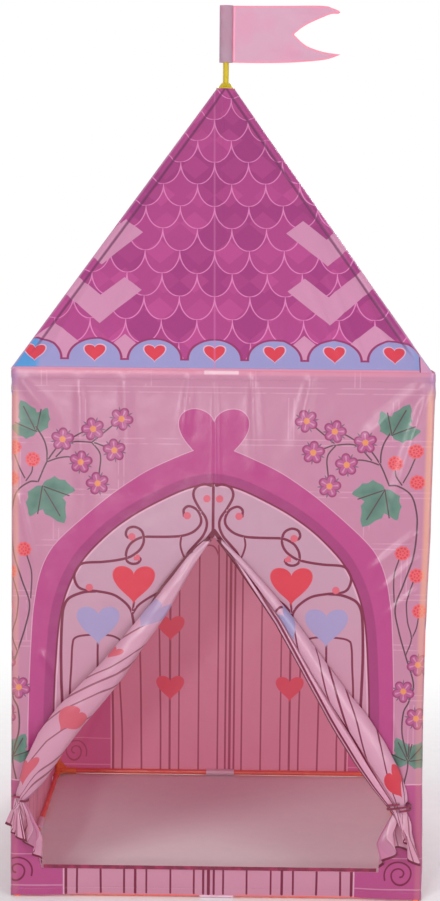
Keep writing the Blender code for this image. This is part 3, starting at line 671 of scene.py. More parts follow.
def stamps(hearts):
    """Every small motif: place, size, turn, kind, mirror."""
    rows = [(x, y, size, turn, kind) for x, y, size, kind, turn in hearts]
    rows += [(x, y, DOT_SIZE, 0.0, KIND_DOT) for x, y in DOTS]
    rows += [(x, y, FLOWER_SIZE, turn, KIND_FLOWER) for x, y, turn in FLOWERS]
    rows += [(x, y, BERRY_SIZE, 0.0, KIND_BERRY) for x, y in BERRIES]
    rows += [(x, y, size, turn - math.pi / 2, KIND_LEAF) for x, y, turn, size in LEAVES]
    return np.array([(*row, mirror) for row in rows for mirror in (1, -1)], float)


# flat cloth


def vertex_array(mesh):
    co = np.zeros(len(mesh.vertices) * 3)
    mesh.vertices.foreach_get("co", co)
    return co.reshape(-1, 3)


def flat_places(mesh):
    return vertex_array(mesh)[:, (0, 2)]


class FlatCloth:
    """Adds what the prints need to a mesh's face corners, worked out on the flat cloth."""

    def __init__(self, mesh, spots=None, flat=None):
        self.mesh = mesh
        self.corner_vertex = np.zeros(len(mesh.loops), np.int32)
        mesh.loops.foreach_get("vertex_index", self.corner_vertex)
        totals = np.zeros(len(mesh.polygons), np.int32)
        mesh.polygons.foreach_get("loop_total", totals)
        self.corner_face = np.repeat(np.arange(len(totals)), totals)
        self.spots = flat_places(mesh) if spots is None else spots
        self.flat = self.spots[self.corner_vertex] if flat is None else flat
        sums = [np.bincount(self.corner_face, axis, len(totals)) for axis in self.flat.T[:2]]
        self.centres = np.stack(sums, axis=1) / totals[:, None]
        self.store("cloth", self.flat)

    def store(self, name, values):
        """Corner attribute of three numbers."""
        filled = np.zeros((len(self.flat), 3), np.float32)
        filled[:, : values.shape[1]] = values
        attribute = self.mesh.attributes.new(name, "FLOAT_VECTOR", "CORNER")
        attribute.data.foreach_set("vector", filled.ravel())

    def store_strokes(self, name, rows):
        """For each corner, the place beside the stroke nearest to its face."""
        frames = []
        for half, points in rows:
            line = smooth_line(points, WALL_CELL / 2)
            heading = np.gradient(line, axis=0)
            heading /= np.linalg.norm(heading, axis=1)[:, None]
            caps = np.zeros(len(line))
            caps[0], caps[-1] = -1, 1
            frames += [(*spot, *way, cap, half) for spot, way, cap in zip(line, heading, caps)]
        tree = kdtree.KDTree(len(frames))
        for index, row in enumerate(frames):
            tree.insert((row[0], row[1], 0), index)
        tree.balance()
        found = np.array([tree.find((*centre, 0))[1:] for centre in self.centres])
        nearest, gap = found[self.corner_face].T
        chosen = np.array(frames)[nearest.astype(int)]
        offset = self.flat - chosen[:, :2]
        along = (offset * chosen[:, 2:4]).sum(axis=1) * chosen[:, 4]
        side = offset[:, 0] * chosen[:, 3] - offset[:, 1] * chosen[:, 2]
        values = np.stack((along, side, chosen[:, 5]), axis=1)
        values[gap > NEAR_STROKE] = (0, FAR, 0)
        self.store(name, values)

    def store_stamps(self, name, rows):
        """For each corner, the place within the motif nearest to its face, in motif sizes."""
        nearest = np.zeros(len(self.centres), int)
        best = np.full(len(self.centres), 1e9)
        for index, (x, y, size, turn, kind, mirror) in enumerate(rows):
            weight = 1.0
            if kind == KIND_LEAF:
                x -= LEAF_MIDDLE * size * math.sin(turn)
                y += LEAF_MIDDLE * size * math.cos(turn)
                weight = LEAF_WEIGHT
            gap = np.hypot(self.centres[:, 0] - x * mirror, self.centres[:, 1] - y) / size * weight
            closer = gap < best
            best[closer], nearest[closer] = gap[closer], index
        x, y, size, turn, kind, mirror = rows[nearest[self.corner_face]].T
        aside, rise = self.flat[:, 0] * mirror - x, self.flat[:, 1] - y
        values = np.stack(((aside * np.cos(turn) + rise * np.sin(turn)) / size,
                           (rise * np.cos(turn) - aside * np.sin(turn)) / size, kind), axis=1)
        values[best[self.corner_face] > STAMP_REACH] = (FAR, FAR, 0)
        self.store(name, values)


def print_castle(mesh, spots=None, rim=None, drift=None, hearts=GATE_HEARTS):
    """Store the castle print's features on a wall or a door flap.

    The rim is each point's distance to the taped edges of its cloth. The drift is how far the
    print lies from its cloth's middle, at each height.
    """
    cloth = FlatCloth(mesh, spots)
    if drift is not None:
        for part in (cloth.flat, cloth.centres, cloth.spots):
            part[:, 0] -= drift(part[:, 1])
    cloth.store("print", cloth.flat)
    outer, heart, inner = (
        signed_distance(cloth.spots, outline)
        for outline in (closed_arch(ARCH_OUTER), heart_outline(*TOP_HEART), closed_arch(ARCH_INNER))
    )
    rim = np.full(len(inner), FAR) if rim is None else rim
    arch = np.stack((np.minimum(outer, heart), inner, rim), axis=1)
    cloth.store("arch", arch[cloth.corner_vertex])
    cloth.store_strokes("ironwork", gate_strokes())
    cloth.store_strokes("vine", vine_strokes())
    cloth.store_stamps("motif", stamps(hearts))


def front_drift(z):
    """The front wall's print hangs a little to one side below its arch."""
    return -0.0115 - 0.0022 * step_up(z, 0.22, 0.05)


def back_drift(z):
    """The back wall's print is sewn a little off its middle."""
    return np.full(len(z), -0.0185)


# materials


def fabric(graph, cloth, roughness=0.31, glow=0.32, extra=0.0):
    """Thin satin polyester: soft crumples, weave, and light that comes through."""
    wear = graph.noise(cloth, 9.0, 3.0).ramp(0.30, 0.75, 0.0, 0.10)
    graph.colour = graph.mix(graph.colour, GREY, wear, "OVERLAY")
    crumple = graph.noise(cloth, 26.0, 3.0, 0.55)
    fine = graph.noise(cloth, 110.0)
    soft = graph.bump(crumple * 0.75 + fine * 0.09 + extra, 0.42, 0.0022)
    x, y, _ = graph.split(cloth)
    thread = ((x * 9000.0).sine() + (y * 9000.0).sine()) * 0.5
    normal = graph.bump(thread, 0.10, 0.00012, Normal=soft)
    gloss = fine.ramp(0.3, 0.7, roughness - 0.02, roughness + 0.04)
    satin = graph.surface(gloss, {"Normal": normal, "Specular IOR Level": 0.72,
                                  "Sheen Weight": 0.18, "Sheen Roughness": 0.45})
    warm = graph.mix(graph.colour, WARM, 1.0, "MULTIPLY")
    through = graph.node("BsdfTranslucent", {"Color": warm, "Normal": normal}).outputs[0]
    return graph.output(graph.blend(satin, through, glow))


def heart_field(x, y):
    """Under 0 inside a heart of half width 1."""
    drop = y / HEART_RISE + 1.0 - abs(x).root()
    return x * x + drop * drop - 1.0


def length_of(x, y):
    return (x * x + y * y).root()


def paint_hearts(graph, x, y, kind):
    inside = heart_field(x, y).under(0.0, 0.05)
    graph.lay(RED, inside * kind.is_kind(KIND_RED))
    graph.lay(BLUE, inside * kind.is_kind(KIND_BLUE))


def paint_dot(graph, x, y, kind):
    graph.lay(SALMON, (x * x + y * y).under(1.0, 0.15) * kind.is_kind(KIND_DOT))


def paint_flower(graph, x, y, kind):
    """Five round petals with a dark edge, sepals between them and a light eye."""
    shown = kind.is_kind(KIND_FLOWER)
    reach = length_of(x, y)
    lobe = abs((y.bearing(x) * 2.5).cosine())
    petal = reach - lobe.power(0.55) * 0.46
    rib = reach.under(0.72, 0.03) * lobe.ramp(0.93, 0.99) * 0.5
    for tint, share in (
        (SEPAL, (reach + lobe * 1.1).under(1.02, 0.03)),
        (PETAL_EDGE, petal.under(0.50, 0.03)),
        (PETAL, petal.under(0.37, 0.04)),
        (PINK_PALE, rib),
        (FLOWER_EYE, reach.under(0.25, 0.04)),
    ):
        graph.lay(tint, share * shown)


def leaf_lobe(x, y, length, width, notch):
    """Under 0 inside one pointed lobe that starts at the origin and points along y."""
    share = (y / length).at_least(0.0).at_most(1.0)
    bulge = (share.power(0.72) * math.pi).sine().power(0.75)
    teeth = abs((y * notch).sine()) * 0.055
    return (abs(x) - bulge * width + teeth * bulge).at_least(y - length).at_least(-y - 0.02)


def paint_leaf(graph, x, y, kind):
    """Three-lobed leaf, paler towards its edge."""
    field = leaf_lobe(x, y, 1.0, 0.33, 10.5)
    for side in (1, -1):
        cosine, sine = math.cos(0.92 * side), math.sin(0.92 * side)
        across, along = x * cosine - y * sine, x * sine + y * cosine
        field = field.at_most(leaf_lobe(across, along, 0.76, 0.27, 12.5))
    tone = graph.mix(LEAF_DARK, LEAF, field.ramp(-0.30, -0.02, 0.55, 1.0))
    graph.lay(tone, field.under(0.0, 0.012) * kind.is_kind(KIND_LEAF))


def paint_berry(graph, x, y, kind):
    """Round cluster of small berries, each with a darker spot."""
    shown = kind.is_kind(KIND_BERRY)
    reach, turn = length_of(x, y), y.bearing(x)
    outer, inner = abs((turn * 4.5).sine()), abs((turn * 2.5).cosine())
    graph.lay(BERRY, (reach - outer * 0.12).under(0.86, 0.04) * shown)
    ring = abs(reach - 0.66).under(0.10, 0.05) * outer.over(0.55, 0.1)
    core = abs(reach - 0.28).under(0.09, 0.05) * inner.over(0.6, 0.1)
    graph.lay(BERRY_DARK, ring.at_least(core) * shown * 0.8)


def paint_strokes(graph, name, tint):
    along, side, half = graph.read(name)
    graph.lay(tint, (length_of(along.at_least(0.0), side) - half).under())


def stone_lines(x, y):
    """Faint double lines of large blocks."""
    height, length, inset = 0.086, 0.172, 0.012
    rise = (y / height).fraction() * height
    shift = ((y / height).floor() * 0.37).fraction() * length
    run = ((x + shift) / length + 20.0).fraction() * length
    level, upright = (
        abs(abs(way - inset) - 0.0045).under(0.0008, 0.0008) for way in (rise, run)
    )
    return level.at_least(upright * rise.over(0.017, 0.001))


def paint_arch(graph, x, y, outer, inner):
    """Stone wall, the arch's band and the gate's field within it."""
    breaks = graph.noise(graph.attribute("cloth"), 30.0).ramp(0.36, 0.52)
    field = graph.mix(GATE_LOW, GATE, y.ramp(0.25, 0.62))
    graph.lay(PINK_PALE, stone_lines(x, y) * breaks * 0.55)
    graph.lay(PINK_PALE, outer.under(0.0014) * 0.7)
    graph.lay(BAND, outer.under())
    graph.lay(BAND_DARK, outer.under() * inner.under(0.017, 0.001))
    graph.lay(MAROON, inner.under(0.0016))
    graph.lay(PINK_PALE, inner.under(-0.0014))
    graph.lay(field, inner.under(-0.0042))


def corner_blocks(graph, x, y):
    """Dark blocks at the foot of the gate posts, with pale courses."""
    wide = abs(x)
    edge, block = (
        wide.over(side) * y.under(top) * wide.under(0.380)
        for side, top in ((0.2460, 0.207), (0.2485, 0.205))
    )
    graph.lay(PINK_PALE, edge)
    graph.lay(BLOCK, block)
    for level in (0.026, 0.076):
        graph.lay(PINK_PALE, abs(y - level).under(0.0009) * block * 0.55)


def paint_tube_show_through(graph, x, y):
    """Painted light: warm, pale and blue bands where the tubes and corner joints right behind the
    cloth show through it.
    """
    wide = abs(x)
    upright = abs(wide - 0.3400).ramp(0.0085, 0.0015) * y.ramp(0.895, 0.850)
    fade = y.ramp(0.20, 0.60, 0.10, 0.42) * x.ramp(-0.01, 0.01, 1.0, 1.5)
    coupler = wide.under(0.0285, 0.001) * abs(y - 0.9010).under(0.0030, 0.0015)
    graph.lay(UPRIGHT_SHOW_THROUGH, upright * fade)
    graph.lay(SLEEVE_SHOW_THROUGH, abs(y - 0.9000).ramp(0.0052, 0.0020) * 0.5)
    graph.lay(SLEEVE_LINE_SHOW_THROUGH, abs(y - 0.9035).under(0.0006, 0.0006) * 0.6)
    graph.lay(COUPLER_SHOW_THROUGH, coupler * 0.75)
    graph.lay(JOINT_SHOW_THROUGH, wide.ramp(0.330, 0.345) * y.ramp(0.862, 0.888) * 0.35)


def stitch_height(x, y):
    """Rows of stitches along the hem and the eave."""
    dash = (x * 2200.0).sine().ramp(-0.4, 0.2) * -0.5
    hem, eave = (abs(y - level).under(0.0007)
                 for level in (HEM_HEIGHT + 0.011, EAVE_HEIGHT - 0.0165))
    return (hem + eave) * dash


def castle_material(name, on_wall=True):
    """Print of the walls and the door flaps, with painted light over it: a pale sheen on the flaps,
    and the tubes behind the walls showing through.
    """
    graph = new_graph(name, PINK)
    cloth = graph.attribute("cloth")
    cloth_x, cloth_y, _ = graph.split(cloth)
    x, y, _ = graph.read("print")
    outer, inner, rim = graph.read("arch")
    motif = graph.read("motif")
    paint_arch(graph, x, y, outer, inner)
    if not on_wall:
        # painted sheen: the flap is lightened all over for the highlights on its satin folds
        graph.lay(FLAP_PAINTED_SHEEN, 0.34)
    paint_leaf(graph, *motif)
    paint_strokes(graph, "vine", STEM)
    paint_berry(graph, *motif)
    paint_flower(graph, *motif)
    if on_wall:
        corner_blocks(graph, x, y)
    paint_strokes(graph, "ironwork", MAROON)
    paint_hearts(graph, *motif)
    paint_dot(graph, *motif)
    if on_wall:
        # painted light: the tubes and joints behind the wall painted as showing through
        paint_tube_show_through(graph, cloth_x, cloth_y)
        graph.lay(TAPE, rim.under(0.0036, 0.0003))
    inner_face = Value(graph, graph.node("NewGeometry").outputs["Backfacing"])
    graph.lay(INNER_FACE, inner_face * 0.30)
    if not on_wall:
        graph.lay(TAPE, rim.under(0.0040, 0.0003))
    return fabric(graph, cloth, extra=stitch_height(cloth_x, cloth_y))


def paint_tiles(graph, u, v):
    """Overlapping round tiles in two shades. Gives the place of their pale edge lines."""

    def place(row):
        return u / TILE_PITCH + (row / 2.0).fraction() + 20.5

    t = (v - TILE_FIRST) / TILE_RISE
    row = t.floor()
    s = (place(row).fraction() - 0.5) * 2.0
    gap = t - row - (1.0 - (1.0 - s * s).at_least(0.0).root())
    inside_row = row - gap.under(0.0, 0.02)
    steep = s * s / (1.0 - s * s).at_least(0.02) * (2 * TILE_RISE / TILE_PITCH) ** 2
    line = (abs(gap) * TILE_RISE / (steep + 1.0).root()).under(0.0009, 0.0005)
    column = place(inside_row).floor()
    cell = graph.node("CombineXYZ", {"X": column * 7.31, "Y": inside_row * 3.17}).outputs[0]
    tone = graph.node("TexWhiteNoise", {"Vector": cell}, noise_dimensions="2D")
    shade = Value(graph, tone.outputs["Value"])
    rising, falling = (((way / FACET_PITCH) + 40.0).fraction() for way in (u + v, u - v))
    facet = rising.under(0.42, 0.008) * falling.under(0.42, 0.008)
    other_facet = rising.over(0.55, 0.008) * falling.over(0.60, 0.008)
    lift = shade.ramp(0.45, 0.60) * 0.50 + facet * 0.45 + other_facet * 0.25
    graph.colour = graph.mix(TILE_DARK, TILE_PALE, lift)
    return line


def zigzag(wide, v):
    """1 inside a pale angled band that points down and runs out to the hip."""
    reach = abs(wide - ZIGZAG_PLACE)
    inside = (v - reach * 0.93).under(ZIGZAG_HIGH) * (v - reach * 0.98).over(ZIGZAG_LOW)
    return inside * (v - wide * 0.85).under(0.0522)


def paint_eave_band(graph, u, v, joint):
    """Blue scallops with a dark edge, each with a heart, painted a brighter blue where a blue corner
    joint shows through the cloth.
    """
    local = ((u / SCALLOP_PITCH + 20.5).fraction() - 0.5) * SCALLOP_PITCH
    rise = (v - SCALLOP_LOW).at_least(0.0) / SCALLOP_RISE
    round_gap = length_of(local / SCALLOP_HALF, rise) - 1.0
    field = (round_gap * SCALLOP_RISE).at_most(v - SCALLOP_LOW)
    heart = heart_field(local / EAVE_HEART, (v - EAVE_HEART_LEVEL) / EAVE_HEART)
    graph.lay(EAVE_LINE, field.under(0.0016))
    # painted light: the scallops turn brighter blue where a joint lies behind the cloth
    graph.lay(graph.mix(EAVE_BLUE, EAVE_JOINT_SHOW_THROUGH, joint * 0.85), field.under(-0.0020))
    graph.lay(HEART_HALO, heart.under(0.26, 0.06) * 0.8)
    graph.lay(RED, heart.under(0.0, 0.06))
    graph.lay(EAVE_FOOT, v.under(BAND_FOOT))


def roof_material():
    """Scallop tiles, pale zigzag patches and a scalloped band with hearts at the eave, with painted
    light: highlights along the hips and the middle of each slope, shade in the dip beside each hip,
    and the blue corner joints showing through.
    """
    graph = new_graph("roof_cloth_print")
    cloth = graph.attribute("cloth")
    true_u, v, hip = graph.split(cloth)
    u = true_u + ROOF_DRIFT + v * ROOF_LEAN
    wide = abs(u)
    line = paint_tiles(graph, u, v)
    for step in (0.0, ZIGZAG_STEP):
        patch = zigzag(wide, v - step)
        graph.lay(ROOF_PATCH, patch)
        line = line * (1.0 - patch * 0.75)
    for centre, top, slope in DIAMONDS:
        patch = (v + abs(wide - centre) * slope).under(top)
        graph.lay(ROOF_PATCH, patch)
        line = line * (1.0 - patch)
    graph.lay(TILE_LINE, line)
    # painted light: where the blue eave joints lie behind the corners, stronger on the left
    joint = true_u.ramp(-0.296, -0.310) + true_u.ramp(0.312, 0.334) * 0.45
    paint_eave_band(graph, u, v, joint)
    end = true_u.ramp(ROOF_BAND_END, ROOF_BAND_END + 0.0006) * v.ramp(0.045, 0.035)
    graph.lay(EAVE_END, end)
    graph.lay(MAROON, abs(true_u - ROOF_BAND_END).under(0.0009) * v.under(0.030))
    # painted highlight: a paler line down the crease in the middle of each slope
    graph.lay(ROOF_CREASE_HIGHLIGHT, wide.ramp(0.0026, 0.0006) * 0.35)
    # painted shade: a dark line along the dip beside each hip tube, where the cloth falls in shadow
    beside = abs(hip - ROOF_GROOVE_REACH).ramp(0.0032, 0.0008) * v.ramp(0.02, 0.07)
    graph.lay(ROOF_GROOVE_SHADE, beside * 0.8)
    # painted highlight: a paler strip on the round ridge over each hip tube
    graph.lay(ROOF_RIDGE_HIGHLIGHT, hip.ramp(0.0042, 0.0010) * 0.45)
    stitches = abs(v - 0.006).under(0.0006) * -0.4
    return fabric(graph, cloth, roughness=0.44, glow=0.22, extra=stitches)


def flag_material():
    graph = new_graph("flag_cloth_plain", FLAG_PINK)
    cloth = graph.attribute("cloth")
    u, _, edge = graph.split(cloth)
    graph.lay(FLAG_PALE, graph.noise(cloth, 14.0).ramp(0.4, 0.7))
    graph.lay(FLAG_SEAM, u.under(0.0155) * u.over(0.0) * 0.9)
    graph.lay(FLAG_RIM, edge.ramp(0.0042, 0.0012) * 0.75)
    return fabric(graph, cloth, roughness=0.55, glow=0.35)


def tape_material():
    graph = new_graph("tape_weave", TAPE)
    place = graph.place()
    x, _, z = graph.split(place)
    graph.lay(TAPE_PALE, graph.noise(place, 60.0).ramp(0.4, 0.7))
    rib = ((x + z) * 5200.0).sine() * 0.6 + (z * 7000.0).sine() * 0.4
    normal = graph.bump(rib, 0.4, 0.0003)
    return graph.output(graph.surface(0.75, {"Normal": normal, "Sheen Weight": 0.3}))


def moulded(name, tint, shade, roughness):
    """Injection-moulded plastic: fine grain, slight scuffs and patches of a second tone."""
    graph = new_graph(name, tint)
    place = graph.place()
    graph.lay(shade, graph.noise(place, 45.0, 3.0).ramp(0.42, 0.75, 0.0, 0.5))
    scuff = graph.noise(place, 70.0, 4.0, 0.65)
    normal = graph.bump((graph.noise(place, 900.0) + scuff) * 0.5, 0.25, 0.0004)
    gloss = scuff.ramp(0.35, 0.7, roughness - 0.08, roughness + 0.12)
    return graph.output(graph.surface(gloss, {"Normal": normal}))


def floor_material():
    """Pale matt floor that keeps the shadow near the object and fades to white far away."""
    graph = new_graph("floor_pale", FLOOR_LIGHT)
    place = graph.place()
    x, y, _ = graph.split(place)
    graph.lay(FLOOR_SHADE, graph.noise(place, 40.0, 4.0))
    white = graph.node("Emission", {"Color": WHITE, "Strength": 1.0}).outputs[0]
    share = length_of(x, y).ramp(*FLOOR_FADE) * graph.seen()
    return graph.output(graph.blend(graph.surface(0.9), white, share))


# pieces


def add_piece(name, mesh, material, nodes, body=None):
    """Add a sheet or cord that stands for some nodes of the frame."""
    item = bpy.data.objects.new(name, mesh)
    bpy.context.scene.collection.objects.link(item)
    mesh.materials.clear()
    mesh.materials.append(material)
    mesh.shade_smooth()
    if body:
        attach(item, body)
    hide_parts(*nodes)
    return item


def set_vertices(mesh, points):
    mesh.vertices.foreach_set("co", np.asarray(points, np.float32).ravel())
    mesh.update()


def make_mesh(name, points, faces):
    mesh = bpy.data.meshes.new(name)
    mesh.from_pydata(np.reshape(points, (-1, 3)).tolist(), [], faces)
    return mesh


def grid_faces(rows, columns, first=0):
    """Faces between rows of points that follow one another."""
    corners = [first + r * columns + c for r in range(rows - 1) for c in range(columns - 1)]
    return [(a, a + 1, a + columns + 1, a + columns) for a in corners]


def ring_faces(rows, count):
    """Faces between closed rings of points."""
    return [
        (r * count + c, r * count + (c + 1) % count,
         (r + 1) * count + (c + 1) % count, (r + 1) * count + c)
        for r in range(rows - 1)
        for c in range(count)
    ]


def grid_mesh(name, wide, high, cell):
    """Flat grid in the XZ plane."""
    xs, ys = (np.linspace(low, top, max(2, int(round((top - low) / cell)) + 1))
              for low, top in (wide, high))
    return make_mesh(name, [(x, 0.0, y) for y in ys for x in xs], grid_faces(len(ys), len(xs)))


def quarter_turn(quarter):
    return np.array(Matrix.Rotation(math.tau * quarter / 4, 3, "Z")).T


def drop_faces(mesh, outline, low, high):
    """Remove the faces of a flat mesh whose distance to an outline is between two limits."""
    bm = bmesh.new()
    bm.from_mesh(mesh)
    faces = list(bm.faces)
    centres = np.array([face.calc_center_median()[:] for face in faces])[:, (0, 2)]
    gaps = signed_distance(centres, outline)
    gone = [face for face, gap in zip(faces, gaps) if low < gap < high]
    bmesh.ops.delete(bm, geom=gone, context="FACES")
    bm.to_mesh(mesh)
    bm.free()


def cut_out(mesh, outline, cell):
    """Remove what lies inside a closed outline from a flat mesh, with clean edges."""
    bm = bmesh.new()
    bm.from_mesh(mesh)
    corners = [Vector((x, 0, y)) for x, y in outline]
    for start, end in zip(corners, corners[1:] + corners[:1]):
        way = end - start
        length = way.length
        way.normalize()
        normal = Vector((way.z, 0, -way.x))
        near = []
        for face in bm.faces:
            offset = face.calc_center_median() - start
            beside = abs(offset.dot(normal)) < 1.6 * cell
            if beside and -2 * cell < offset.dot(way) < length + 2 * cell:
                near.append(face)
        parts = {edge for face in near for edge in face.edges}
        points = {vert for face in near for vert in face.verts}
        bmesh.ops.bisect_plane(
            bm, geom=[*near, *parts, *points], dist=1e-6, plane_co=start, plane_no=normal
        )
    bm.to_mesh(mesh)
    bm.free()
    drop_faces(mesh, outline, -FAR, 0)


def keep_inside(mesh, outline, cell):
    """Trim a flat mesh to a closed outline, with its border points moved onto it."""
    drop_faces(mesh, outline, 1.5 * cell, FAR)
    co = vertex_array(mesh)
    nearest, gap = nearest_on(co[:, (0, 2)], outline)
    snap = np.abs(gap) < 0.71 * cell
    co[snap, 0], co[snap, 2] = nearest[snap].T
    set_vertices(mesh, co)
    drop_faces(mesh, outline, -0.02 * cell, FAR)


class Door:
    """Directions and sizes of one half of the door, measured from the slit's top."""

    def __init__(self, side, tie, cut):
        self.side = side
        self.tie = np.array((side * tie[0], tie[1]))
        self.length = float(np.linalg.norm(self.tie - SLIT_TOP))
        self.along = (self.tie - SLIT_TOP) / self.length
        self.across = np.array((abs(self.along[1]) * side, abs(self.along[0])))
        self.foot = np.array((side * cut, DOOR_FOOT))
        self.sill_end = np.array((side * cut, SILL_EDGE))
        self.angle = math.atan2(tie[0], SLIT_TOP[1] - tie[1])

    def spot(self, along_share, across_share):
        way = self.along * along_share + self.across * across_share
        return SLIT_TOP + way * self.length

    def edge(self):
        return [self.spot(*row) for row in DOOR_EDGE_SHARES]


LEFT = Door(-1, (0.329, 0.174), 0.298)
RIGHT = Door(1, (0.305, 0.168), 0.275)


def slacken(spots):
    """The cloth round the slit's top hangs a little to one side and parts a little higher."""
    p = np.array(spots, float)
    return p + step_up(p[:, 1:], 0.49, SLIT_TOP[1]) * (SLIT_SHIFT, SLIT_OPEN)


def door_outline():
    """Edge of the wall round the door."""
    right = [*RIGHT.edge(), RIGHT.sill_end]
    corners = [SLIT_TOP, *LEFT.edge(), LEFT.sill_end, *reversed(right)]
    dense = []
    for here, there in zip(corners, corners[1:] + corners[:1]):
        count = max(1, round(float(np.linalg.norm(there - here)) / 0.02))
        dense += [here + (there - here) * step / count for step in range(count)]
    return slacken(dense)


def ridges(u, v, rows, fade, rise=1.0):
    """Soft folds, each along a line from its top down to its foot."""
    total = 0.0
    for x0, y0, x1, y1, width, height in rows:
        length = math.hypot(x1 - x0, y1 - y0)
        way_x, way_y = (x1 - x0) / length, (y1 - y0) / length
        along = (u - x0) * way_x + (v - y0) * way_y
        side = (u - x0) * way_y - (v - y0) * way_x
        spread = width * (0.6 + 0.8 * np.clip(along / length, 0, 1))
        body = step_up(along, -0.004, fade * length) * step_up(along, length, length * 0.45)
        total = total + height * rise * np.exp(-((side / spread) ** 2)) * body
    return total


def wall_stand_off(u, v, folds, seed):
    """How far the cloth stands out from its plane, by folds, billow and crumples."""
    wide = np.abs(u)
    clear = step_up(wide, 0.345, 0.29) * step_up(v, 0.905, 0.86) * step_up(v, 0.011, 0.06)
    billow = (value_noise(u * 4.2, v * 3.1, seed) * 0.0026
              + value_noise(u * 9.5, v * 7.0, seed + 1) * 0.0013)
    out = (billow - 0.0016) * clear + ridges(u, v, folds, 0.12, WALL_FOLD_RISE)
    edge_fade = step_up(wide, 0.348, 0.33) * step_up(v, 0.9045, 0.885)
    crumple = value_noise(u * 38, v * 30, seed + 2) * 0.00045
    crumple += value_noise(u * 85 + v * 20, v * 70, seed + 3) * 0.00018
    hem = step_up(v, HEM_HEIGHT + 0.0130, HEM_HEIGHT + 0.0118) * 0.0005
    sleeve = step_up(v, 0.8865, 0.8885) * step_up(v, 0.9045, 0.9030) * 0.0008
    return out + crumple * (0.35 + 0.65 * edge_fade) + hem + sleeve


def place_wall(mesh, folds, seed, quarter):
    """Bend a flat wall round the uprights at its sides and give it its folds."""
    u, v = flat_places(mesh).T
    wide = np.abs(u)
    turn = np.clip(wide - FRAME_HALF, 0, None) / CLOTH_GAP
    clear_of_joints = step_up(wide, 0.300, 0.280) * step_up(wide, 0.032, 0.045)
    out = CLOTH_GAP + wall_stand_off(u, v, folds, seed)
    out -= HEM_TUCK * step_up(v, 0.030, 0.014) * clear_of_joints
    x = np.clip(wide, 0, FRAME_HALF) + out * np.sin(turn)
    y = FRAME_HALF + out * np.cos(turn)
    droop = DROOP if quarter else FRONT_DROOP[0] + FRONT_DROOP[1] * step_up(wide, 0.20, 0.30)
    z = v - droop * step_up(v, 0.050, HEM_HEIGHT)
    points = np.stack((np.sign(u) * x, -y, z), axis=1)
    set_vertices(mesh, flare(points @ quarter_turn(quarter)))


def flare(points):
    """Slack in the side walls moves both vertical edges of the front a little."""
    forward, up = -points[:, 1], points[:, 2]
    free = step_up(forward, 0.16, 0.34)
    free *= 1 - step_up(up, 0.035, 0.010) * step_up(forward, 0.345, 0.315)
    for side, rows in ((-1, LEFT_FLARE), (1, RIGHT_FLARE)):
        reach = np.interp(up, *rows.T)
        points[:, 0] += side * reach * step_up(side * points[:, 0], 0.285, 0.345) * free
    return points


def slit_tape_distance(spots):
    """Distance to the stitched tape that spans the top of the slit."""
    nearest = np.full(len(spots), FAR)
    top = np.array((SLIT_SHIFT, SLIT_CAP))
    for side in (-1, 1):
        way = np.array((side * 0.034, -0.047))
        share = np.clip((spots - top) @ way / (way @ way), 0, 1)
        nearest = np.minimum(nearest, np.linalg.norm(spots - top - share[:, None] * way, axis=1))
    return nearest


def make_walls(material):
    for quarter, side in enumerate(SIDES):
        cell, folds, cut, rim = PLAIN_CELL, PLAIN_FOLDS, 0.0, None
        if side == "front":
            cell, folds = WALL_CELL, FRONT_FOLDS
        mesh = grid_mesh(f"wall_cloth_{side}", (-WALL_FLAT_HALF, WALL_FLAT_HALF),
                         (HEM_HEIGHT, EAVE_HEIGHT), cell)
        if side == "front":
            cut_out(mesh, door_outline(), cell)
            cut = outline_area(door_outline())
            rim = slit_tape_distance(flat_places(mesh))
        print_castle(mesh, rim=rim, drift={"front": front_drift, "back": back_drift}.get(side))
        place_wall(mesh, folds, 11 + quarter * 7, quarter)
        item = add_piece(mesh.name, mesh, material, [f"wall_{side}"], "tent")


def roof_stand_off(u, v, hip, span, quarter):
    """Sag between the hips, a round ridge over each hip tube, a dip beside it and folds."""
    up, side = v / v.max(), np.abs(u) / span
    sag = -0.0055 * (1 - side**2) * np.sin(math.pi * np.clip(up, 0, 1))
    round_over = -0.0016 * np.exp(-((hip / 0.0045) ** 2))
    groove = (hip - ROOF_GROOVE_REACH) / np.where(hip < ROOF_GROOVE_REACH, 0.0032, 0.0110)
    dip = -0.0036 * np.exp(-(groove**2)) * step_up(up, 0.0, 0.10) * step_up(up, 1.0, 0.93)
    clear = step_up(hip, 0.002, 0.03) * step_up(up, 0.0, 0.05) * step_up(up, 1.0, 0.92)
    mirror = -1 if quarter % 2 else 1
    out = sag + round_over + dip
    out += ridges(u * mirror, v, ROOF_FOLDS, 0.10) * step_up(hip, 0.002, 0.012)
    for scale_u, scale_v, seed, rise in ((9, 7, 30, 0.0012), (34, 22, 40, 0.0005),
                                         (80, 60, 50, 0.00018)):
        out += value_noise(u * scale_u, v * scale_v, seed + quarter) * rise * clear
    return out


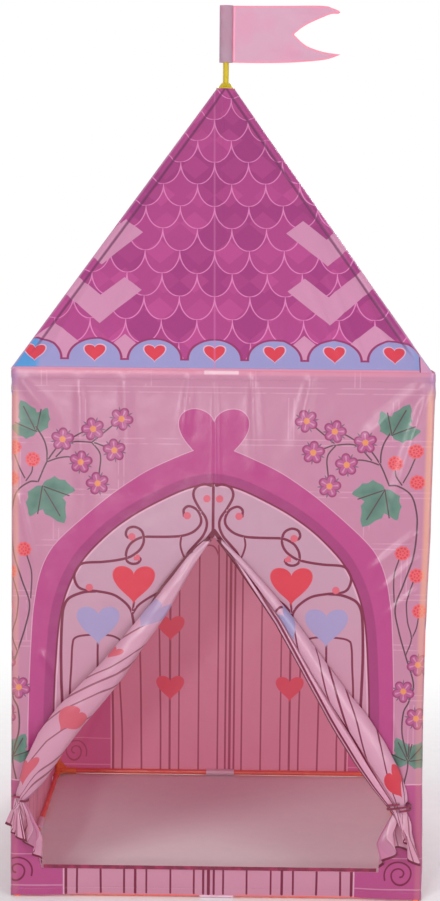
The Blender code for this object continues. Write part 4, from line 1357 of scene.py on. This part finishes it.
def make_roof(material):
    """One continuous sheet over the four slopes, rounded over the hip tubes."""
    height = np.linspace(EAVE_HEIGHT, CROWN_HEIGHT, ROOF_ROWS + 1)
    reach = (ROOF_PEAK - height) / ROOF_SLOPE
    share, span = np.meshgrid(np.linspace(-1, 1, ROOF_COLUMNS + 1), reach)
    u = span * share
    v = np.repeat((height - EAVE_HEIGHT)[:, None] / math.sin(ROOF_ANGLE), len(share[0]), axis=1)
    hip = span * (1 - np.abs(share)) * math.sin(ROOF_ANGLE)
    places = []
    for quarter in range(4):
        out = roof_stand_off(u, v, hip, span, quarter)
        y = -span - out * math.sin(ROOF_ANGLE)
        z = height[:, None] + out * math.cos(ROOF_ANGLE)
        places.append((np.stack((u, y, z), axis=2) @ quarter_turn(quarter))[:, :-1])
    ring = np.concatenate(places, axis=1)
    sheet = np.stack((u, v, hip), axis=2)
    corners = (sheet[:-1, :-1], sheet[:-1, 1:], sheet[1:, 1:], sheet[1:, :-1])
    flat = np.tile(np.stack(corners, axis=2), (1, 4, 1, 1)).reshape(-1, 3)
    mesh = make_mesh("roof_cloth", ring, ring_faces(*ring.shape[:2]))
    FlatCloth(mesh, flat=flat)
    item = add_piece("roof_cloth", mesh, material, [f"roof_panel_{side}" for side in SIDES],
                     "tent")


# door flaps


def gather_section(edge, overlap, _):
    """Front side out: behind to the outer contour, then in one wide fold to the slit's edge.

    Each point is a place across the flap, 0 at its inner and 1 at its outer contour, and a
    share of its depth.
    """
    first = 0.50 - overlap * 0.30
    under = first + overlap
    return (
        (edge, -1.0), ((edge + 0.97) / 2, -0.55), (0.97, -0.10),
        (1.02, 0.12), (0.99, 0.36), (0.90, 0.66), (0.76, 0.88), (0.62, 0.96),
        (first + 0.10, 0.90), (first, 0.72), (first + 0.02, 0.60),
        (first + 0.10, 0.54), (under, 0.50), (under + 0.03, 0.44), (under - 0.03, 0.39),
        (first + 0.16, 0.39), (first + 0.11, 0.35), (first + 0.17, 0.31), (under - 0.02, 0.31),
        (under + 0.02, 0.27), (under - 0.05, 0.23),
        (first + 0.04, 0.26), (first - 0.05, 0.44), (first - 0.12, 0.60),
        (first * 0.40, 0.62), (first * 0.18, 0.52), (0.02, 0.36), (0.0, 0.24),
    )


def roll_section(edge, overlap, run):
    """Back side out: inward to the inner contour, rolled back over it to the outer one."""
    tape = 0.90 + 0.22 * float(step_up(run, 0.30, 0.20))
    inside = 0.88 - overlap * 1.2
    return (
        (edge, -1.0), ((edge + 0.05) / 2, -0.55), (0.03, -0.10),
        (-0.02, 0.14), (0.02, 0.42), (0.12, 0.72), (0.28, 0.93), (0.46, 1.00),
        (0.64, 0.93), (0.80, 0.76), (0.92, 0.54), (0.96, 0.40), (0.90, 0.32),
        (inside + 0.10, 0.34), (inside, 0.29), (inside + 0.08, 0.24),
        (0.82, 0.24), (0.87, 0.21), (0.80, 0.18), (inside + 0.14, 0.18), (inside + 0.09, 0.15),
        (inside + 0.16, 0.12), (0.85, 0.13), (0.97, 0.13), (tape, 0.11), (tape + 0.03, 0.08),
    )


class Tail:
    """The free end of a flap, from its tie down to its hem."""

    def __init__(self, name, door, share):
        hem = curve_through(TAIL_HEMS[name], FOLD_STEPS)
        run = run_along(hem)
        self.side, self.belly = door.side, TAIL_BELLY[name]
        self.held = step_up(share, 0.0, 0.10)
        self.middle = self.held * step_up(share, 0.38, 0.12)
        self.hem = np.stack([np.interp(share * run[-1], run, axis) for axis in hem.T], axis=1)
        self.hem[:, 0] += 0.006 * np.sin(TAIL_WAVES * 2 * share) * self.held
        self.out = STRIP_DEPTH + TAIL_DEPTH * (0.5 - 0.5 * np.cos(TAIL_WAVES * share))
        self.sewn = np.array([*door.edge()[-3:], door.foot])

    def pull(self, spot, out, middle):
        """Move one row of the gathered flap to its place in the tail."""
        tail = min((middle - 1.0) / (FLAP_END - 1.0), 1.0)
        spot[:, 0] += (self.hem[:, 0] - spot[:, 0]) * tail ** 0.8
        spot[:, 1] += (self.hem[:, 1] - spot[:, 1]) * tail
        sewn = [np.interp(tail, (0, 0.33, 0.66, 1), axis) for axis in self.sewn.T]
        held = self.held[:, None]
        spot[:] = np.array(sewn) * (1 - held) + spot * held
        spot[:, 0] -= self.side * self.belly * self.middle * math.sqrt(math.sin(math.pi * tail))
        out += (self.held * self.out - out) * float(step_up(tail, 0.0, 0.6))


def contour_at(name, middle):
    """Inner and outer edge of a gathered flap at a share of the way to the tie."""
    shares, inner, outer = CONTOUR_SHARES[name].T
    return np.interp(middle, shares, inner), np.interp(middle, shares, outer)


def gathered_row(name, door, middle, share):
    """Places across and out of one row of points of a gathered flap."""
    inner, outer = contour_at(name, middle)
    edge_rows = np.vstack(((0, 0.004), DOOR_EDGE_SHARES))
    edge = (np.interp(middle, *edge_rows.T) - inner) / (outer - inner)
    overlap = 0.06 + 0.36 * float(step_up(middle, 0.05, 0.60))
    section = roll_section if name == "left" else gather_section
    aside, deep = curve_through(section(edge, overlap, middle), FOLD_STEPS).T
    across = (inner + (outer - inner) * aside) * door.length
    out = STRIP_DEPTH * (1 + np.clip(deep, -1, 0)) ** 0.8
    out += np.clip(deep, 0, None) * np.interp(middle, *DEPTH_ROWS.T)
    run = run_along(np.stack((across, out), axis=1))
    return (np.interp(share * run[-1], run, across) / door.length,
            np.interp(share * run[-1], run, out))


def flap_foot(door, angle):
    """Length of the flat cloth at each angle from the slit, as a share of the way to the tie."""
    corner = door.foot - SLIT_TOP
    cut_angle = math.atan2(abs(corner[0]), -corner[1])
    foot_slit = (SLIT_TOP[1] - DOOR_FOOT) / door.length
    foot_cut = np.linalg.norm(corner) / door.length
    foot_edge = DOOR_EDGE_SHARES[-1, 0]
    beyond = (angle - cut_angle) / max(door.angle - cut_angle, 1e-6)
    return np.where(angle < cut_angle, foot_slit / np.cos(angle),
                    foot_cut + (foot_edge - foot_cut) * beyond)


def flap_rows(name, door, seed):
    """Place and flat place of every point of a gathered flap, one row per distance."""
    share = np.linspace(0, 1, FLAP_COLUMNS + 1)
    angle = door.angle * (1 - share)
    foot = flap_foot(door, angle)
    tail = Tail(name, door, share)
    places, flats, rims = [], [], []
    for part in np.linspace(0, 1, FLAP_ROWS + 1):
        middle = FLAP_START + (FLAP_END - FLAP_START) * part
        run = FLAP_START + (foot - FLAP_START) * part
        across, out = gathered_row(name, door, middle, share)
        free = step_up(out, STRIP_DEPTH, STRIP_DEPTH + 0.003)
        slack = free * float(step_up(abs(middle - 1.0), 0.0, 0.08))
        out += value_noise(run * 26, share * 9, seed) * 0.0007 * slack
        out += value_noise(run * 9 + share * 3, share * 5, seed + 1) * 0.0014 * slack
        across += value_noise(run * 7, share * 3, seed + 2) * 0.004 * free * min(1, part * 4)
        way = door.along * min(middle, 1.0) + door.across * across[:, None]
        spot = slacken(SLIT_TOP + way * door.length)
        if middle > 1.0:
            tail.pull(spot, out, middle)
        places.append(np.stack((spot[:, 0], -(WALL_REACH + FLAP_REST) - out, spot[:, 1]), axis=1))
        flat_x = door.side * run * door.length * np.sin(angle)
        flats.append(np.stack((flat_x, SLIT_TOP[1] - run * door.length * np.cos(angle)), axis=1))
        rims.append(np.minimum(np.abs(flat_x), (foot - run) * door.length))
    return np.array(places), np.array(flats), np.array(rims)


def make_flap(name, door, material, seed):
    places, flats, rims = flap_rows(name, door, seed)
    faces = [face[::door.side] for face in grid_faces(*places.shape[:2])]
    mesh = make_mesh(f"door_cloth_{name}", places, faces)
    print_castle(mesh, flats.reshape(-1, 2), rims.ravel(), hearts=FLAP_HEARTS[name])
    item = add_piece(mesh.name, mesh, material, [f"door_flap_{name}"])
    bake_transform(item)


def make_tie(name, door, material, turns):
    """Round cord wound round the waist of a flap."""
    inner, outer = contour_at(name, 1.0)
    middle = door.spot(1.0, (inner + outer) / 2)
    half_width = abs(outer - inner) / 2 * door.length + 0.0022
    straight = max(half_width - TIE_BEND, 0.001)
    path = []
    for turn in np.arange(TIE_STEPS * turns + 1) / TIE_STEPS:
        angle = math.tau * turn + math.pi / 2
        x = straight * np.clip(math.cos(angle) * 2.2, -1, 1) + TIE_BEND * math.cos(angle)
        y = -(WALL_REACH + 0.0084) - TIE_BEND * math.sin(angle)
        drop = TIE_PITCH * (turns / 2 - turn)
        path.append((middle[0] + x, y, middle[1] + drop + 0.12 * door.side * x))
    mesh = tube_mesh(f"tie_cord_{name}_wound", path, TIE_RADIUS, 10)
    item = add_piece(mesh.name, mesh, material, [f"tie_cord_{name}"], f"flap_{name}")


def tube_mesh(name, path, radius, sides):
    """Closed round tube along a line of points."""
    heading = np.gradient(np.array(path), axis=0)
    heading /= np.linalg.norm(heading, axis=1)[:, None]
    side = np.cross(heading[0], (0, 0, 1.0))
    points = []
    for spot, way in zip(path, heading):
        side = side - way * side.dot(way)
        side /= np.linalg.norm(side)
        up = np.cross(way, side)
        for angle in math.tau * np.arange(sides) / sides:
            points.append(spot + radius * (math.cos(angle) * side + math.sin(angle) * up))
    last = len(points) - sides
    caps = [tuple(reversed(range(sides))), tuple(range(last, last + sides))]
    return make_mesh(name, points, ring_faces(len(path), sides) + caps)


# flag


def flag_outline():
    return np.vstack([smooth_line(part, 0.004)[:-1] for part in FLAG_EDGES]
                     + [FLAG_EDGES[-1][-1]])


def flag_sleeve():
    """Places of the flat sleeve's points and their places on the flat cloth."""
    places, flats = [], []
    for height in 0.0006 + (FLAG_HEIGHT - 0.0012) * np.arange(SLEEVE_ROWS + 1) / SLEEVE_ROWS:
        close = float(step_up(height, FLAG_HEIGHT - 0.0012, FLAG_HEIGHT - 0.0001))
        for k in range(SLEEVE_STEPS + 1):
            turn = math.tau * k / SLEEVE_STEPS
            pinch = 1 - 0.35 * max(math.cos(turn), 0) ** 6
            y = 0.0070 * (1 - 0.3 * close) * math.sin(turn) * pinch
            y += 0.0005 * math.sin(height * 210 + turn * 2)
            places.append((0.0122 * math.cos(turn), y, FLAG_LOW + height))
            flats.append((-SLEEVE_GIRTH * k / SLEEVE_STEPS, height, 0.02))
    return np.array(places), np.array(flats)


def make_flag(material):
    """Swallow-tailed cloth and, in the same sheet, the flat sleeve that turns on the stem."""
    outline = flag_outline()
    body = grid_mesh("flag_body", (0.008, 0.2084), (-0.004, 0.106), FLAG_CELL)
    keep_inside(body, outline, FLAG_CELL)
    u, v = flat_places(body).T
    edge = np.maximum(-signed_distance(np.stack((u, v), axis=1), outline), 0)
    share = np.clip(u / FLAG_LENGTH, 0, 1)
    wave = 0.004 * share * np.sin(math.tau * share)
    wave += 0.0009 * np.sin(v * 160 + u * 30) * step_up(u, 0.10, 0.125) * step_up(u, 0.19, 0.14)
    wave += value_noise(u * 26, v * 22, 5) * 0.0011 * step_up(u, 0.014, 0.05)
    wave += value_noise(u * 70, v * 60, 6) * 0.0004
    sleeve, sleeve_flat = flag_sleeve()
    faces = [tuple(polygon.vertices) for polygon in body.polygons]
    faces += grid_faces(SLEEVE_ROWS + 1, SLEEVE_STEPS + 1, len(u))
    places = np.vstack((np.stack((u, wave, FLAG_LOW + v), axis=1), sleeve))
    mesh = make_mesh("flag_sheet", places, faces)
    FlatCloth(mesh, np.vstack((np.stack((u, v, edge), axis=1), sleeve_flat)))
    item = add_piece("flag_sheet", mesh, material, ["flag"], "flag")


# rigid parts and stage


def dress(nodes, starts, material):
    for name, item in nodes.items():
        if name.startswith(starts):
            item.data.materials.clear()
            item.data.materials.append(material)


def add_camera():
    data = bpy.data.cameras.new("camera")
    data.sensor_fit = "AUTO"
    data.sensor_width = CAMERA_SENSOR
    data.lens = CAMERA_LENS
    camera = bpy.data.objects.new("camera", data)
    bpy.context.scene.collection.objects.link(camera)
    camera.matrix_world = Matrix.Translation(CAMERA_PLACE)
    for degrees, axis in ((CAMERA_YAW, "Z"), (90 + CAMERA_PITCH, "X"), (CAMERA_ROLL, "Z")):
        camera.matrix_world @= Matrix.Rotation(math.radians(degrees), 4, axis)
    bpy.context.scene.camera = camera


def area_light(name, place, target, size, power):
    data = bpy.data.lights.new(name, "AREA")
    data.shape = "DISK"
    data.size = size
    data.energy = power
    lamp = bpy.data.objects.new(name, data)
    bpy.context.scene.collection.objects.link(lamp)
    lamp.location = place
    aim = Vector(target) - Vector(place)
    lamp.rotation_euler = aim.to_track_quat("-Z", "Y").to_euler()


def make_stage():
    scene = bpy.context.scene
    scene.view_settings.view_transform = "Standard"
    graph = Graph(bpy.data.worlds.new("studio"))
    level = graph.seen().ramp(0.0, 1.0, WORLD_LIGHT, 1.0, "LINEAR")
    back = graph.node("Background", {"Color": WHITE, "Strength": level}).outputs[0]
    scene.world = graph.output(back, "World")
    for row in LIGHTS:
        area_light(*row)
    corners = [(x * FLOOR_REACH, y * FLOOR_REACH, 0) for x, y in ((-1, -1), (1, -1), (1, 1), (-1, 1))]
    mesh = make_mesh("floor", corners, [(0, 1, 2, 3)])
    mesh.materials.append(floor_material())
    floor = bpy.data.objects.new("floor", mesh)
    scene.collection.objects.link(floor)


def main():
    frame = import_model()
    add_camera()
    make_stage()
    for starts, *look in MOULDED:
        dress(frame["nodes"], starts, moulded(*look))
    dress(frame["nodes"], ("sill_binding",), tape_material())
    flap_print, tape = castle_material("flap_cloth_print", on_wall=False), tape_material()
    make_walls(castle_material("wall_cloth_print"))
    make_roof(roof_material())
    for name, door, seed, turns in (("left", LEFT, 61, 1), ("right", RIGHT, 83, 2)):
        make_flap(name, door, flap_print, seed)
        make_tie(name, door, tape, turns)
    make_flag(flag_material())


main()
